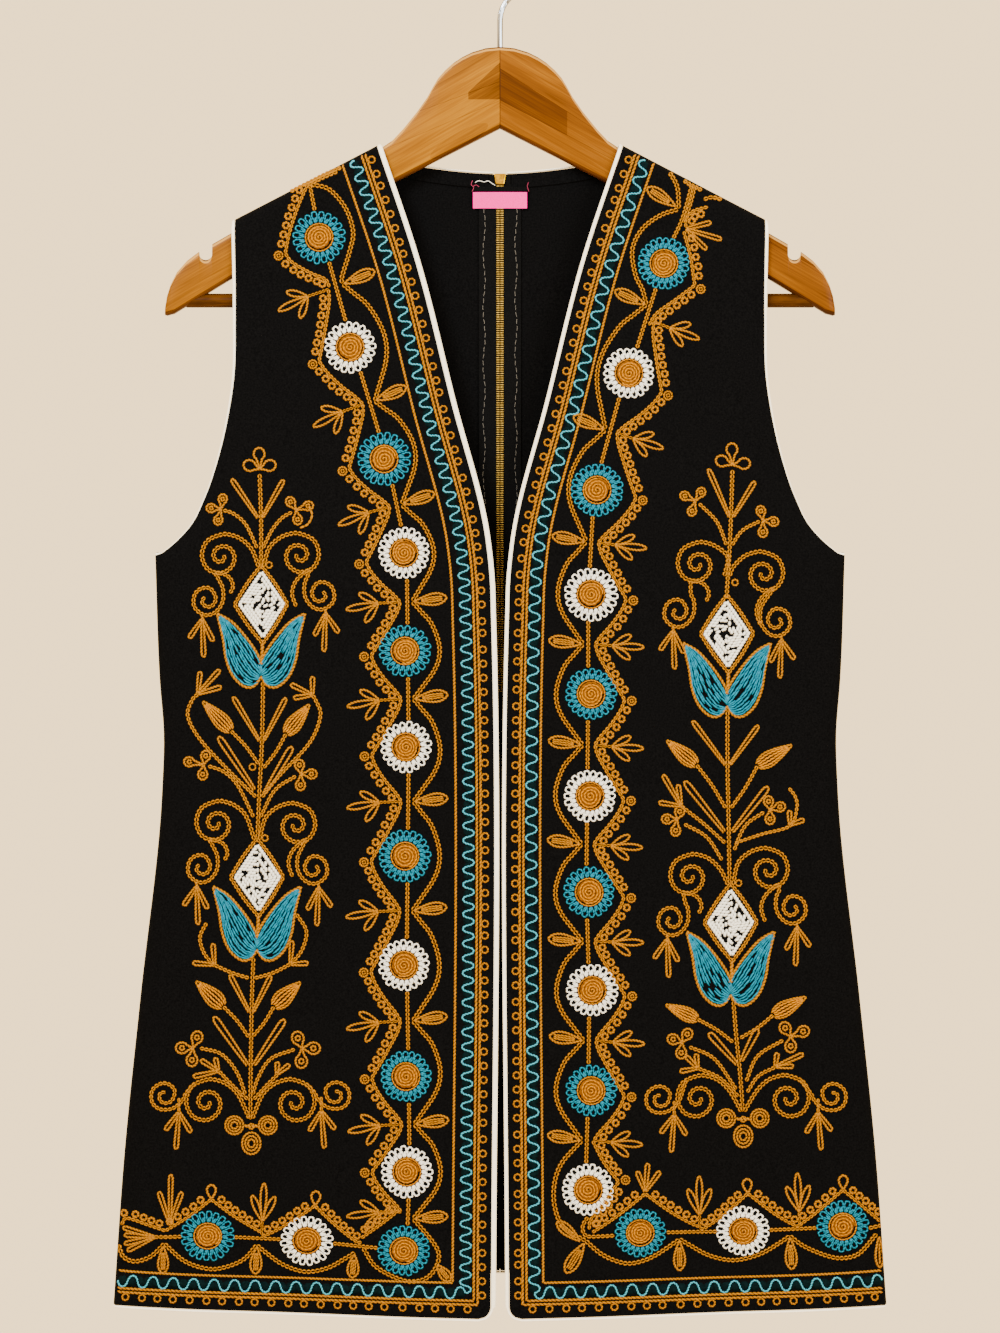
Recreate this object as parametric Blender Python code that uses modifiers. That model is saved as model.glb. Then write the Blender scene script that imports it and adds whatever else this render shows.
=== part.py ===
"""Embroidered folk vest hanging on a contoured wooden hanger with a wire hook.

Metres, +Z up. The origin is the top of the inside of the hook, where the rail bears. The fronts
face -Y, the zip is at +Y, and the wearer's right is at -X. Every cloth panel is a wall on a grid:
its rows run from the centre to the side, and climb from the hem to the shoulder seam.
"""
import math

import bmesh
import bpy
import numpy as np

# Cloth
WALL = 0.0016
GAP = 0.0003
HALF_GAP = GAP / 2
SECTION_POWER = 3.2

# Shoulder seam, laid over the hanger's arms
NECK_POINT = (0.0794, -0.1349)
SHOULDER_TIP = (0.1782, -0.1864)
SHOULDER_DEPTH = 0.0100
SHOULDER_DROP = 0.0065

# Underarm, hems and front edge
UNDERARM_Z = -0.4080
UNDERARM_INNER_Z = -0.4000
HEM_CENTRE_Z = -0.9146
HEM_SIDE_Z = -0.9067
BACK_HEM_LIFT = 0.0280
FRONT_CORNER_RADIUS = 0.0080
ARMHOLE_STRAIGHT_Z = -0.2500

# Outlines as (height, distance from the centre), taken to the outside of the piping
FRONT_EDGE = ((-0.9146, 0.0030), (-0.4500, 0.0030), (-0.4250, 0.0038), (-0.3981, 0.0066),
              (-0.3055, 0.0298), (-0.2122, 0.0536), (-0.1349, 0.0794))
SIDE_SEAM = ((-0.9067, 0.2566), (-0.8015, 0.2490), (-0.7023, 0.2388), (-0.5634, 0.2242),
             (-0.5271, 0.2231), (-0.4907, 0.2258), (-0.4080, 0.2288))
ARMHOLE = ((-0.4080, 0.2288), (-0.4014, 0.2202), (-0.3901, 0.2090), (-0.3696, 0.1981),
           (-0.3458, 0.1898), (-0.3174, 0.1829), (-0.2896, 0.1786), (-0.2526, 0.1776),
           (-0.1864, 0.1782))

# Half depth of the hanging vest at its centre, as (height, depth)
DEPTH = ((-0.9150, 0.0215), (-0.7000, 0.0185), (-0.5300, 0.0160), (-0.4080, 0.0150),
         (-0.3000, 0.0125), (-0.2000, 0.0106), (-0.1300, 0.0102))

# Soft folds that open towards the hem, as (distance from centre, half width, depth)
FRONT_FOLDS = ((0.060, 0.030, 0.0022), (0.145, 0.034, -0.0026), (0.205, 0.024, 0.0016))
BACK_FOLDS = ((0.070, 0.034, -0.0024), (0.150, 0.036, 0.0028))
FOLD_START_Z = -0.5600

# Share of the panel's width at each column, and extra columns where the back neck leaves the arm
FRONT_COLUMNS = (0.0, 0.12, 0.25, 0.38, 0.51, 0.64, 0.76, 0.86, 0.93, 0.975, 1.0)

# Back columns as (edge where the column ends, share of the width below the underarm, distance from
# the centre on the neck edge or share of the shoulder seam, angle round the hanger's arm at its end)
BACK_COLUMNS = (("neck", 0.00, 0.0048, 90.0), ("neck", 0.12, 0.0280, 90.0), ("neck", 0.22, 0.0520, 90.0),
                ("neck", 0.31, 0.0750, 90.0), ("neck", 0.38, 0.0791, 72.0), ("neck", 0.43, 0.0805, 36.0),
                ("seam", 0.48, 0.00, 0.0), ("seam", 0.60, 0.25, 0.0), ("seam", 0.72, 0.50, 0.0),
                ("seam", 0.84, 0.73, 0.0), ("seam", 0.93, 0.89, 0.0), ("seam", 0.98, 0.97, 0.0),
                ("seam", 1.00, 1.00, 0.0))
BACK_NECK_LOW_Z = -0.1527
BACK_NECK_CURVE = 1.8
LOWER_ROWS = 10
ARMHOLE_ROWS = 10
SHOULDER_ROWS = 4
CORNER_LIFTS = (0.0, 0.0012, 0.0040)

# Piping widths and height
PIPING_SIDES = 6
PIPING_HEIGHT = 0.0022
FRONT_PIPING = 0.0030
HEM_PIPING = 0.0018
ARMHOLE_PIPING = 0.0024
NECK_PIPING = 0.0012

# Zip at centre back
ZIP_HALF_OPENING = 0.0048
ZIP_END_Z = -0.5000
ZIP_STEP = 0.0012
ZIP_TOP_Z = -0.1616
TAPE_INNER_X = 0.0030
TAPE_OUTER_X = 0.0140
TAPE_THICKNESS = 0.0008
CHAIN_HALF_WIDTH = 0.0027
CHAIN_THICKNESS = 0.0024
SLIDER_SIZE = (0.0082, 0.0046, 0.0072)
SLIDER_Z = -0.1577
BAIL_RADIUS = 0.0028
BAIL_WIRE = 0.0005
BAIL_BAR_LIFT = 0.00115
PULL_LENGTH = 0.0250
PULL_WIDTH = 0.0050
PULL_THICKNESS = 0.0012
EYE_WIDTH = 0.0020
EYE_END = 0.0038
EYE_BAR = 0.0006

# Neck facing and label
FACING_HEIGHT = 0.0088
FACING_THICKNESS = 0.0010
FACING_START_X = 0.0075
FACING_END_X = 0.0700
LABEL_WIDTH = 0.0360
LABEL_TOP_Z = -0.1627
LABEL_BOTTOM_Z = -0.1772
LABEL_THICKNESS = 0.0006

# Hanger
WOOD_TOP_Z = -0.0707
WOOD_HALF_THICKNESS = 0.0060
WOOD_ROUND = 0.0040
WOOD_TOP = ((0.0, 0.0), (0.0095, 0.0009), (0.0185, 0.0036), (0.0250, 0.0068), (0.0308, 0.0106),
            (0.0365, 0.0157), (0.0410, 0.0208), (0.0448, 0.0272), (0.0480, 0.0331), (0.0549, 0.0430),
            (0.0642, 0.0545), (0.0714, 0.0622), (0.0790, 0.0673), (0.1806, 0.1250), (0.1997, 0.1360),
            (0.2077, 0.1420), (0.2143, 0.1495), (0.2183, 0.1574), (0.2209, 0.1653), (0.2222, 0.1730))
WOOD_BOTTOM = ((0.0, 0.0542), (0.0701, 0.0899), (0.1806, 0.1554), (0.2160, 0.1770), (0.2209, 0.1783),
               (0.2222, 0.1778))
NOTCH_X = 0.1952
NOTCH_DROP = 0.1370
NOTCH_RADIUS = 0.0044
BAR_RADIUS = 0.0047
BAR_Z = -0.2389
BAR_OUTER_END = 0.2080
BAR_INNER_END = 0.1400
HOOK_RADIUS = 0.0019
HOOK_BEND_RADIUS = 0.0200
HOOK_STRAIGHT = 0.0180
HOOK_DEPTH_IN_WOOD = 0.0250

# Materials: colour, roughness, metallic
CLOTH = ((0.010, 0.010, 0.011, 1.0), 0.85, 0.0)
CREAM = ((0.86, 0.80, 0.66, 1.0), 0.75, 0.0)
TAPE = ((0.008, 0.008, 0.009, 1.0), 0.8, 0.0)
BRASS = ((0.80, 0.58, 0.22, 1.0), 0.3, 1.0)
PINK = ((0.85, 0.33, 0.50, 1.0), 0.7, 0.0)
WOOD = ((0.55, 0.26, 0.07, 1.0), 0.35, 0.0)
CHROME = ((0.75, 0.75, 0.76, 1.0), 0.15, 1.0)


def clear_scene():
    for item in list(bpy.data.objects):
        bpy.data.objects.remove(item, do_unlink=True)


def make_collection(name):
    collection = bpy.data.collections.new(name)
    bpy.context.scene.collection.children.link(collection)
    return collection


def make_material(name, finish):
    colour, roughness, metallic = finish
    material = bpy.data.materials.new(name)
    material.use_nodes = True
    shader = material.node_tree.nodes["Principled BSDF"]
    shader.inputs["Base Color"].default_value = colour
    shader.inputs["Roughness"].default_value = roughness
    shader.inputs["Metallic"].default_value = metallic
    return material


def hermite(table, key):
    """Smooth curve through a table of (key, value) rows."""
    keys = [row[0] for row in table]
    values = [row[1] for row in table]
    slopes = np.gradient(np.array(values), np.array(keys))
    key = min(max(key, keys[0]), keys[-1])
    index = min(max(int(np.searchsorted(keys, key)) - 1, 0), len(keys) - 2)
    span = keys[index + 1] - keys[index]
    t = (key - keys[index]) / span
    start = (1 + 2 * t) * (1 - t) ** 2 * values[index] + t * (1 - t) ** 2 * span * slopes[index]
    end = t * t * (3 - 2 * t) * values[index + 1] + t * t * (t - 1) * span * slopes[index + 1]
    return float(start + end)


def straight(table, key):
    """Straight lines through a table of (key, value) rows."""
    return float(np.interp(key, [row[0] for row in table], [row[1] for row in table]))


def mix(low, high, share):
    return low + (high - low) * share


def armhole_depth(height):
    """How far the armhole's edge stands from the side plane."""
    if height <= UNDERARM_Z:
        return 0.0
    if height >= ARMHOLE_STRAIGHT_Z:
        return SHOULDER_DEPTH
    fall = (ARMHOLE_STRAIGHT_Z - height) / (ARMHOLE_STRAIGHT_Z - UNDERARM_Z)
    return SHOULDER_DEPTH * math.sqrt(1 - fall * fall)


def outer_edge(height):
    """Side seam below the underarm, armhole edge inside its piping above it."""
    if height <= UNDERARM_Z:
        return hermite(SIDE_SEAM, height)
    return hermite(ARMHOLE, height) - ARMHOLE_PIPING - GAP


def shoulder_line(x):
    """Height of the shoulder seam at a distance from the centre."""
    slope = (SHOULDER_TIP[1] - NECK_POINT[1]) / (SHOULDER_TIP[0] - NECK_POINT[0])
    return NECK_POINT[1] + slope * (x - NECK_POINT[0])


def front_edge(height):
    """Front panel's edge inside its piping, with the rounded corner at the hem."""
    edge = hermite(FRONT_EDGE, height) + FRONT_PIPING + GAP
    lift = height - (HEM_CENTRE_Z + HEM_PIPING + GAP)
    if lift < FRONT_CORNER_RADIUS:
        inside = FRONT_CORNER_RADIUS - max(lift, 0.0)
        edge += FRONT_CORNER_RADIUS - math.sqrt(FRONT_CORNER_RADIUS ** 2 - inside ** 2)
    return edge


def back_edge(height):
    """Centre seam, which parts along the zip."""
    if height >= ZIP_END_Z - 0.1 * ZIP_STEP:
        return ZIP_HALF_OPENING
    return HALF_GAP


def fold_depth(x, height, folds):
    """Soft folds that deepen from below the waist to the hem."""
    fall = max(0.0, (FOLD_START_Z - height) / (FOLD_START_Z - HEM_CENTRE_Z))
    total = 0.0
    for centre, half_width, depth in folds:
        reach = (x - centre * (0.9 + 0.1 * fall)) / half_width
        total += depth * math.exp(-reach * reach)
    return total * fall ** 1.5


def panel_depth(x, width, height, edge_height, folds):
    """Flattened oval section: full depth over the panel, rounding to the side seam."""
    edge = armhole_depth(edge_height)
    full = hermite(DEPTH, height) + fold_depth(x, height, folds)
    share = min(x / width, 1.0)
    rounding = max(0.0, 1 - share ** SECTION_POWER) ** (1 / SECTION_POWER)
    return edge + (full - edge) * rounding


def shoulder_drop(angle):
    """Fall below the shoulder seam where the cloth has turned by an angle round the arm."""
    return SHOULDER_DROP * (1 - math.cos(math.radians(angle)))


def lower_rows(hem_centre, hem_side, extra_heights=()):
    """Rows from the hem to the underarm, as (height at the centre, height at the side)."""
    low_centre = hem_centre + HEM_PIPING + GAP
    low_side = hem_side + HEM_PIPING + GAP
    rows = [(low_centre + lift, low_side + lift) for lift in CORNER_LIFTS]
    start = low_centre + FRONT_CORNER_RADIUS
    shares = [index / LOWER_ROWS for index in range(LOWER_ROWS + 1)]
    shares += [(height - start) / (UNDERARM_INNER_Z - start) for height in extra_heights]
    for share in sorted(shares):
        centre = mix(start, UNDERARM_INNER_Z, share)
        rows.append((centre, mix(low_side + FRONT_CORNER_RADIUS, UNDERARM_Z, share)))
    return rows


def armhole_shares():
    """Even steps up the armhole, closer together near the underarm."""
    return [(index / ARMHOLE_ROWS) ** 1.35 for index in range(1, ARMHOLE_ROWS + 1)]


def front_grid():
    """Outer points of a front, from the front edge to the side and the hem to the shoulder."""
    neck_z = shoulder_line(NECK_POINT[0] + FRONT_PIPING + GAP)
    tip_z = shoulder_line(outer_edge(SHOULDER_TIP[1]))
    rows = [(centre, side, 90.0) for centre, side in lower_rows(HEM_CENTRE_Z, HEM_SIDE_Z)]
    underarm_row = len(rows) - 1
    for share in armhole_shares():
        centre = mix(UNDERARM_INNER_Z, neck_z - SHOULDER_DROP, share)
        rows.append((centre, mix(UNDERARM_Z, tip_z - SHOULDER_DROP, share), 90.0))
    for step in range(1, SHOULDER_ROWS + 1):
        angle = 90.0 * (1 - step / SHOULDER_ROWS)
        drop = shoulder_drop(angle)
        rows.append((neck_z - drop, tip_z - drop, angle))
    grid = np.zeros((len(rows), len(FRONT_COLUMNS), 3))
    for row, (centre_z, side_z, angle) in enumerate(rows):
        inner = front_edge(centre_z)
        outer = outer_edge(side_z)
        for column, share in enumerate(FRONT_COLUMNS):
            x = mix(inner, outer, share)
            z = mix(centre_z, side_z, share)
            depth = panel_depth(x, outer, z, side_z, FRONT_FOLDS)
            depth = max(depth * math.sin(math.radians(angle)), HALF_GAP)
            grid[row, column] = (x, -depth, z)
    return grid, underarm_row


def back_neck(x):
    """Height of the back neck edge inside its piping."""
    end = NECK_POINT[0] + NECK_PIPING + GAP
    share = min(x / end, 1.0)
    rise = shoulder_line(end) - SHOULDER_DROP - BACK_NECK_LOW_Z
    return BACK_NECK_LOW_Z + rise * share ** BACK_NECK_CURVE - NECK_PIPING - GAP


def back_top(place, reach, angle):
    """Top point of a back column: its distance from the centre and its height."""
    end = NECK_POINT[0] + NECK_PIPING + GAP
    if place == "neck" and angle == 90.0:
        return reach, back_neck(reach)
    if place == "neck":
        return reach, shoulder_line(end) - shoulder_drop(angle)
    x = mix(end, outer_edge(SHOULDER_TIP[1]), reach)
    return x, shoulder_line(x)


def back_grid():
    """Outer points of a back half, from the centre seam to the side and the hem to the top."""
    zip_rows = (ZIP_END_Z - ZIP_STEP, ZIP_END_Z)
    low = lower_rows(HEM_CENTRE_Z + BACK_HEM_LIFT, HEM_SIDE_Z, zip_rows)
    underarm_row = len(low) - 1
    climbs = armhole_shares()
    tip_z = shoulder_line(outer_edge(SHOULDER_TIP[1]))
    count = len(low) + len(climbs) + SHOULDER_ROWS
    grid = np.zeros((count, len(BACK_COLUMNS), 3))
    last = len(BACK_COLUMNS) - 1
    for column, (place, share, reach, top_angle) in enumerate(BACK_COLUMNS):
        top_x, top_z = back_top(place, reach, top_angle)
        start_z = mix(UNDERARM_INNER_Z, UNDERARM_Z, share)
        spare = SHOULDER_DROP * top_angle / 90.0
        foot_z = top_z - shoulder_drop(90.0) + shoulder_drop(top_angle) - spare
        for row in range(count):
            angle = 90.0
            if row <= underarm_row:
                centre_z, side_z = low[row]
                bow = mix(2.0, 1.0, row / underarm_row)
                z = mix(centre_z, side_z, share ** bow)
                outer = outer_edge(side_z)
                x = mix(back_edge(centre_z), outer, share)
            else:
                step = row - underarm_row
                climb = climbs[min(step, ARMHOLE_ROWS) - 1]
                top_step = max(0, step - ARMHOLE_ROWS) / SHOULDER_ROWS
                angle = mix(90.0, top_angle, top_step)
                rise = shoulder_drop(90.0) - shoulder_drop(angle) + spare * top_step
                z = mix(start_z, foot_z, climb) + rise
                side_z = mix(UNDERARM_Z, tip_z - SHOULDER_DROP, climb)
                side_z += SHOULDER_DROP - shoulder_drop(90.0 * (1 - top_step))
                outer = outer_edge(side_z)
                x = mix(mix(ZIP_HALF_OPENING, outer, share), top_x, climb)
            if column == last:
                x = outer
            depth = panel_depth(x, outer, z, side_z, BACK_FOLDS)
            depth = max(depth * math.sin(math.radians(angle)), HALF_GAP)
            grid[row, column] = (x, depth, z)
    return grid, underarm_row


def grid_normals(grid, outward, underarm_row, centre_seam):
    """Unit normals of a grid, square to the side, shoulder and centre planes at those seams."""
    across = np.gradient(grid, axis=1)
    along = np.gradient(grid, axis=0)
    normals = np.cross(across, along)
    normals *= np.sign(normals[:, :1, 1:2]) * outward
    normals[-1, :, 1] = np.where(grid[-1, :, 1] * outward <= HALF_GAP * 1.01, 0.0, normals[-1, :, 1])
    normals[: underarm_row + 1, -1, 1] = 0.0
    if centre_seam:
        normals[:, 0, 0] = 0.0
    return normals / np.linalg.norm(normals, axis=2, keepdims=True)


def grid_to_object(name, outer, inner, material, collection, side):
    """Closed wall between two grids, for the wearer's left (side 1) or right (side -1)."""
    rows, columns = outer.shape[:2]
    body = bmesh.new()
    layers = []
    for grid in (outer, inner):
        layers.append([[body.verts.new((side * p[0], p[1], p[2])) for p in line] for line in grid])
    for layer in layers:
        for row in range(rows - 1):
            for column in range(columns - 1):
                body.faces.new((layer[row][column], layer[row][column + 1],
                                layer[row + 1][column + 1], layer[row + 1][column]))
    rim = [(0, column) for column in range(columns)]
    rim += [(row, columns - 1) for row in range(1, rows)]
    rim += [(rows - 1, column) for column in range(columns - 2, -1, -1)]
    rim += [(row, 0) for row in range(rows - 2, 0, -1)]
    for index, (row, column) in enumerate(rim):
        next_row, next_column = rim[(index + 1) % len(rim)]
        body.faces.new((layers[0][row][column], layers[0][next_row][next_column],
                        layers[1][next_row][next_column], layers[1][row][column]))
    return bmesh_to_object(name, body, material, collection)


def bmesh_to_object(name, body, material, collection):
    bmesh.ops.recalc_face_normals(body, faces=body.faces)
    mesh = bpy.data.meshes.new(name)
    body.to_mesh(mesh)
    body.free()
    mesh.shade_smooth()
    mesh.set_sharp_from_angle(angle=math.radians(40))
    item = bpy.data.objects.new(name, mesh)
    item.data.materials.append(material)
    collection.objects.link(item)
    return item


def edge_stations(outer, inner, normals, places, inside_places, closed=False, seams=()):
    """Middle of the wall's edge, its normal and the direction away from the panel."""
    middle = [(outer[place] + inner[place]) / 2 for place in places]
    within = [(outer[place] + inner[place]) / 2 for place in inside_places]
    stations = []
    for index, point in enumerate(middle):
        before = middle[index - 1] if index or closed else point
        after = middle[(index + 1) % len(middle)] if index + 1 < len(middle) or closed else point
        tangent = after - before
        if index in seams:
            tangent = np.array((0.0, 1.0, 0.0))
        normal = normals[places[index]]
        away = np.cross(normal, tangent)
        away /= np.linalg.norm(away)
        if np.dot(away, point - within[index]) < 0:
            away = -away
        stations.append((point, normal, away))
    return stations


def piping(name, stations, widths, material, collection, side, closed=False):
    """Cord of oval section laid along an edge, one gap away from it."""
    body = bmesh.new()
    rings = []
    for (point, normal, away), width in zip(stations, widths):
        centre = point + away * (GAP + width / 2)
        ring = []
        for index in range(PIPING_SIDES):
            turn = 2 * math.pi * index / PIPING_SIDES
            spot = centre + away * (width / 2 * math.cos(turn))
            spot = spot + normal * (PIPING_HEIGHT / 2 * math.sin(turn))
            ring.append(body.verts.new((side * spot[0], spot[1], spot[2])))
        rings.append(ring)
    spans = len(rings) if closed else len(rings) - 1
    for index in range(spans):
        ring = rings[index]
        following = rings[(index + 1) % len(rings)]
        for corner in range(PIPING_SIDES):
            second = (corner + 1) % PIPING_SIDES
            body.faces.new((ring[corner], ring[second], following[second], following[corner]))
    if not closed:
        body.faces.new(rings[0])
        body.faces.new(rings[-1])
    return bmesh_to_object(name, body, material, collection)


def mirror_station(station):
    """The same station on the back of the vest."""
    flip = np.array((1.0, -1.0, 1.0))
    return tuple(vector * flip for vector in station)


def build_front(materials, collection, side, name):
    outer, underarm_row = front_grid()
    normals = grid_normals(outer, -1, underarm_row, False)
    inner = outer - WALL * normals
    grid_to_object("front_" + name, outer, inner, materials["cloth"], collection, side)

    last_row, last_column = outer.shape[0] - 1, outer.shape[1] - 1
    places = [(row, 0) for row in range(last_row, -1, -1)]
    places += [(0, column) for column in range(1, last_column + 1)]
    inside = [(row, 1) for row in range(last_row, 0, -1)] + [(2, 1)]
    inside += [(1, column) for column in range(1, last_column + 1)]
    stations = edge_stations(outer, inner, normals, places, inside, seams=(0, len(places) - 1))
    widths = [FRONT_PIPING] * (last_row - 1) + [HEM_PIPING] * (last_column + 2)
    piping("piping_front_" + name, stations, widths, materials["cream"], collection, side)

    places = [(row, last_column) for row in range(underarm_row, last_row + 1)]
    inside = [(min(row + 1, last_row), last_column - 1) for row in range(underarm_row, last_row + 1)]
    inside[0] = (underarm_row - 1, last_column)
    stations = edge_stations(outer, inner, normals, places, inside, seams=(0, len(places) - 1))
    for index in (0, len(stations) - 1):
        point, normal, away = stations[index]
        stations[index] = (point * np.array((1.0, 0.0, 1.0)), normal, away)
    ring = stations + [mirror_station(station) for station in stations[-2:0:-1]]
    widths = [ARMHOLE_PIPING] * len(ring)
    piping("piping_armhole_" + name, ring, widths, materials["cream"], collection, side, closed=True)


def build_back(materials, collection, side, name):
    outer, underarm_row = back_grid()
    normals = grid_normals(outer, 1, underarm_row, True)
    inner = outer - WALL * normals
    grid_to_object("back_" + name, outer, inner, materials["cloth"], collection, side)

    last_row, last_column = outer.shape[0] - 1, outer.shape[1] - 1
    places = [(0, column) for column in range(last_column + 1)]
    inside = [(1, column) for column in range(last_column + 1)]
    stations = edge_stations(outer, inner, normals, places, inside, seams=(last_column,))
    widths = [HEM_PIPING] * len(stations)
    piping("piping_hem_" + name, stations, widths, materials["cream"], collection, side)

    neck_columns = [index for index, row in enumerate(BACK_COLUMNS) if row[0] == "neck"]
    neck_columns.append(len(neck_columns))
    places = [(last_row, column) for column in neck_columns]
    inside = [(last_row - 1, column) for column in neck_columns]
    stations = edge_stations(outer, inner, normals, places, inside, seams=(len(places) - 1,))
    widths = [NECK_PIPING] * len(stations)
    piping("piping_neck_" + name, stations, widths, materials["cream"], collection, side)


def back_depth(x, height):
    """Outer face of the back near the centre."""
    edge = armhole_depth(height)
    width = outer_edge(height)
    full = hermite(DEPTH, height) + fold_depth(x, height, BACK_FOLDS)
    rounding = (1 - min(x / width, 1.0) ** SECTION_POWER) ** (1 / SECTION_POWER)
    return edge + (full - edge) * rounding


def inside_strip(name, spots, lift, thickness, material, collection, side):
    """Strip on the inside of the back, through a grid of (distance from the centre, height)."""
    outer = np.array([[(x, back_depth(abs(x), z) - WALL - lift, z) for x, z in line] for line in spots])
    inner = outer - np.array((0.0, thickness, 0.0))
    return grid_to_object(name, outer, inner, material, collection, side)


def build_facing(materials, collection, side, name):
    steps = 6
    spots = []
    for level in (FACING_HEIGHT, FACING_HEIGHT / 2, 0.0):
        line = []
        for index in range(steps + 1):
            x = mix(FACING_START_X, FACING_END_X, index / steps)
            line.append((x, back_neck(x) - 2 * GAP - level))
        spots.append(line)
    inside_strip("neck_facing_" + name, spots, GAP, FACING_THICKNESS, materials["cloth"], collection, side)


def zip_heights(top, bottom):
    count = 12
    return [mix(bottom, top, index / count) for index in range(count + 1)]


def build_tape(materials, collection, side, name):
    top = back_neck(0.0) - 3 * GAP - FACING_HEIGHT
    heights = zip_heights(top, ZIP_END_Z - TAPE_OUTER_X)
    spots = [[(x, z) for x in (TAPE_INNER_X, TAPE_OUTER_X)] for z in heights]
    inside_strip("zip_tape_" + name, spots, 1.5 * GAP, TAPE_THICKNESS, materials["tape"], collection, side)


def chain_middle(height):
    return back_depth(0.0, height) - WALL - 1.5 * GAP - TAPE_THICKNESS / 2


def build_chain(materials, collection):
    outer = []
    for z in zip_heights(ZIP_TOP_Z, ZIP_END_Z + ZIP_STEP):
        y = chain_middle(z) + CHAIN_THICKNESS / 2
        outer.append([(x, y, z) for x in (-CHAIN_HALF_WIDTH, CHAIN_HALF_WIDTH)])
    outer = np.array(outer)
    inner = outer - np.array((0.0, CHAIN_THICKNESS, 0.0))
    return grid_to_object("zip_chain", outer, inner, materials["brass"], collection, 1)


def build_label(materials, collection):
    """Woven strip that hangs over the zip from the neck facing's seam."""
    front_of_chain = chain_middle(LABEL_TOP_Z) - CHAIN_THICKNESS / 2 - GAP
    steps = 6
    outer = []
    for z in (LABEL_BOTTOM_Z, LABEL_TOP_Z):
        line = []
        for index in range(-steps // 2, steps // 2 + 1):
            share = 2 * index / steps
            line.append((share * LABEL_WIDTH / 2, front_of_chain + LABEL_THICKNESS * share * share, z))
        outer.append(line)
    outer = np.array(outer)
    inner = outer - np.array((0.0, LABEL_THICKNESS, 0.0))
    return grid_to_object("label", outer, inner, materials["pink"], collection, 1)


def curve_to_mesh(curve, collection, material):
    """Evaluated curve as a mesh object with its caps joined on."""
    graph = bpy.context.evaluated_depsgraph_get()
    mesh = bpy.data.meshes.new_from_object(curve.evaluated_get(graph))
    body = bmesh.new()
    body.from_mesh(mesh)
    bmesh.ops.remove_doubles(body, verts=body.verts, dist=0.00001)
    name = curve.name
    place = curve.matrix_world.copy()
    bpy.data.objects.remove(curve, do_unlink=True)
    bpy.data.meshes.remove(mesh)
    item = bmesh_to_object(name, body, material, collection)
    item.matrix_world = place
    return item


def plate(name, outlines, half_thickness, collection, material):
    """Flat plate in the XZ plane from closed outlines, the first outside and the others holes."""
    curve = bpy.data.curves.new(name, "CURVE")
    curve.dimensions = "2D"
    curve.fill_mode = "BOTH"
    curve.extrude = half_thickness
    for outline in outlines:
        spline = curve.splines.new("POLY")
        spline.points.add(len(outline) - 1)
        for point, (x, z) in zip(spline.points, outline):
            point.co = (x, z, 0.0, 1.0)
        spline.use_cyclic_u = True
    item = bpy.data.objects.new(name, curve)
    item.rotation_euler = (math.radians(90), 0.0, 0.0)
    collection.objects.link(item)
    bpy.context.view_layer.update()
    return curve_to_mesh(item, collection, material)


def tube(name, path, radius, collection, material, resolution=2):
    """Round wire along a list of points."""
    curve = bpy.data.curves.new(name, "CURVE")
    curve.dimensions = "3D"
    curve.bevel_depth = radius
    curve.bevel_resolution = resolution
    curve.use_fill_caps = True
    spline = curve.splines.new("POLY")
    spline.points.add(len(path) - 1)
    for point, spot in zip(spline.points, path):
        point.co = (*spot, 1.0)
    item = bpy.data.objects.new(name, curve)
    collection.objects.link(item)
    bpy.context.view_layer.update()
    return curve_to_mesh(item, collection, material)


def as_cutter(item):
    item.hide_render = True
    item.display_type = "WIRE"
    return item


def add_boolean(item, cutter, operation):
    modifier = item.modifiers.new(cutter.name, "BOOLEAN")
    modifier.operation = operation
    modifier.object = cutter
    modifier.solver = "EXACT"


def rod(name, radius, low, high, axis, collection, material, segments=16):
    """Cylinder between two places along the X, Y or Z axis."""
    body = bmesh.new()
    length = (np.array(high) - np.array(low))[axis]
    bmesh.ops.create_cone(body, cap_ends=True, segments=segments, radius1=radius, radius2=radius,
                          depth=length)
    item = bmesh_to_object(name, body, material, collection)
    turns = ((0.0, math.radians(90), 0.0), (math.radians(90), 0.0, 0.0), (0.0, 0.0, 0.0))
    item.rotation_euler = turns[axis]
    item.location = (np.array(low) + np.array(high)) / 2
    return item


def build_slider(materials, collection, cutters):
    width, thickness, height = SLIDER_SIZE
    middle = chain_middle(SLIDER_Z)
    body = bmesh.new()
    bmesh.ops.create_cube(body, size=1.0)
    for vertex in body.verts:
        waist = 0.72 if vertex.co.z < 0 else 1.0
        vertex.co = (vertex.co.x * width * waist, vertex.co.y * thickness, vertex.co.z * height)
    slider = bmesh_to_object("zip_slider", body, materials["brass"], collection)
    slider.location = (0.0, middle, SLIDER_Z)
    bevel = slider.modifiers.new("edges", "BEVEL")
    bevel.width = 0.0007
    bevel.segments = 2
    plate_y = middle + thickness / 2
    path = []
    steps = 10
    for index in range(steps + 1):
        turn = math.pi * index / steps
        path.append((0.0, plate_y + BAIL_RADIUS * math.sin(turn), SLIDER_Z + BAIL_RADIUS * math.cos(turn)))
    path.insert(0, (0.0, plate_y - BAIL_WIRE, SLIDER_Z + BAIL_RADIUS))
    path.append((0.0, plate_y - BAIL_WIRE, SLIDER_Z - BAIL_RADIUS))
    bail = as_cutter(tube("bail", path, BAIL_WIRE, cutters, materials["brass"]))
    add_boolean(slider, bail, "UNION")
    return plate_y + BAIL_BAR_LIFT


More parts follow.
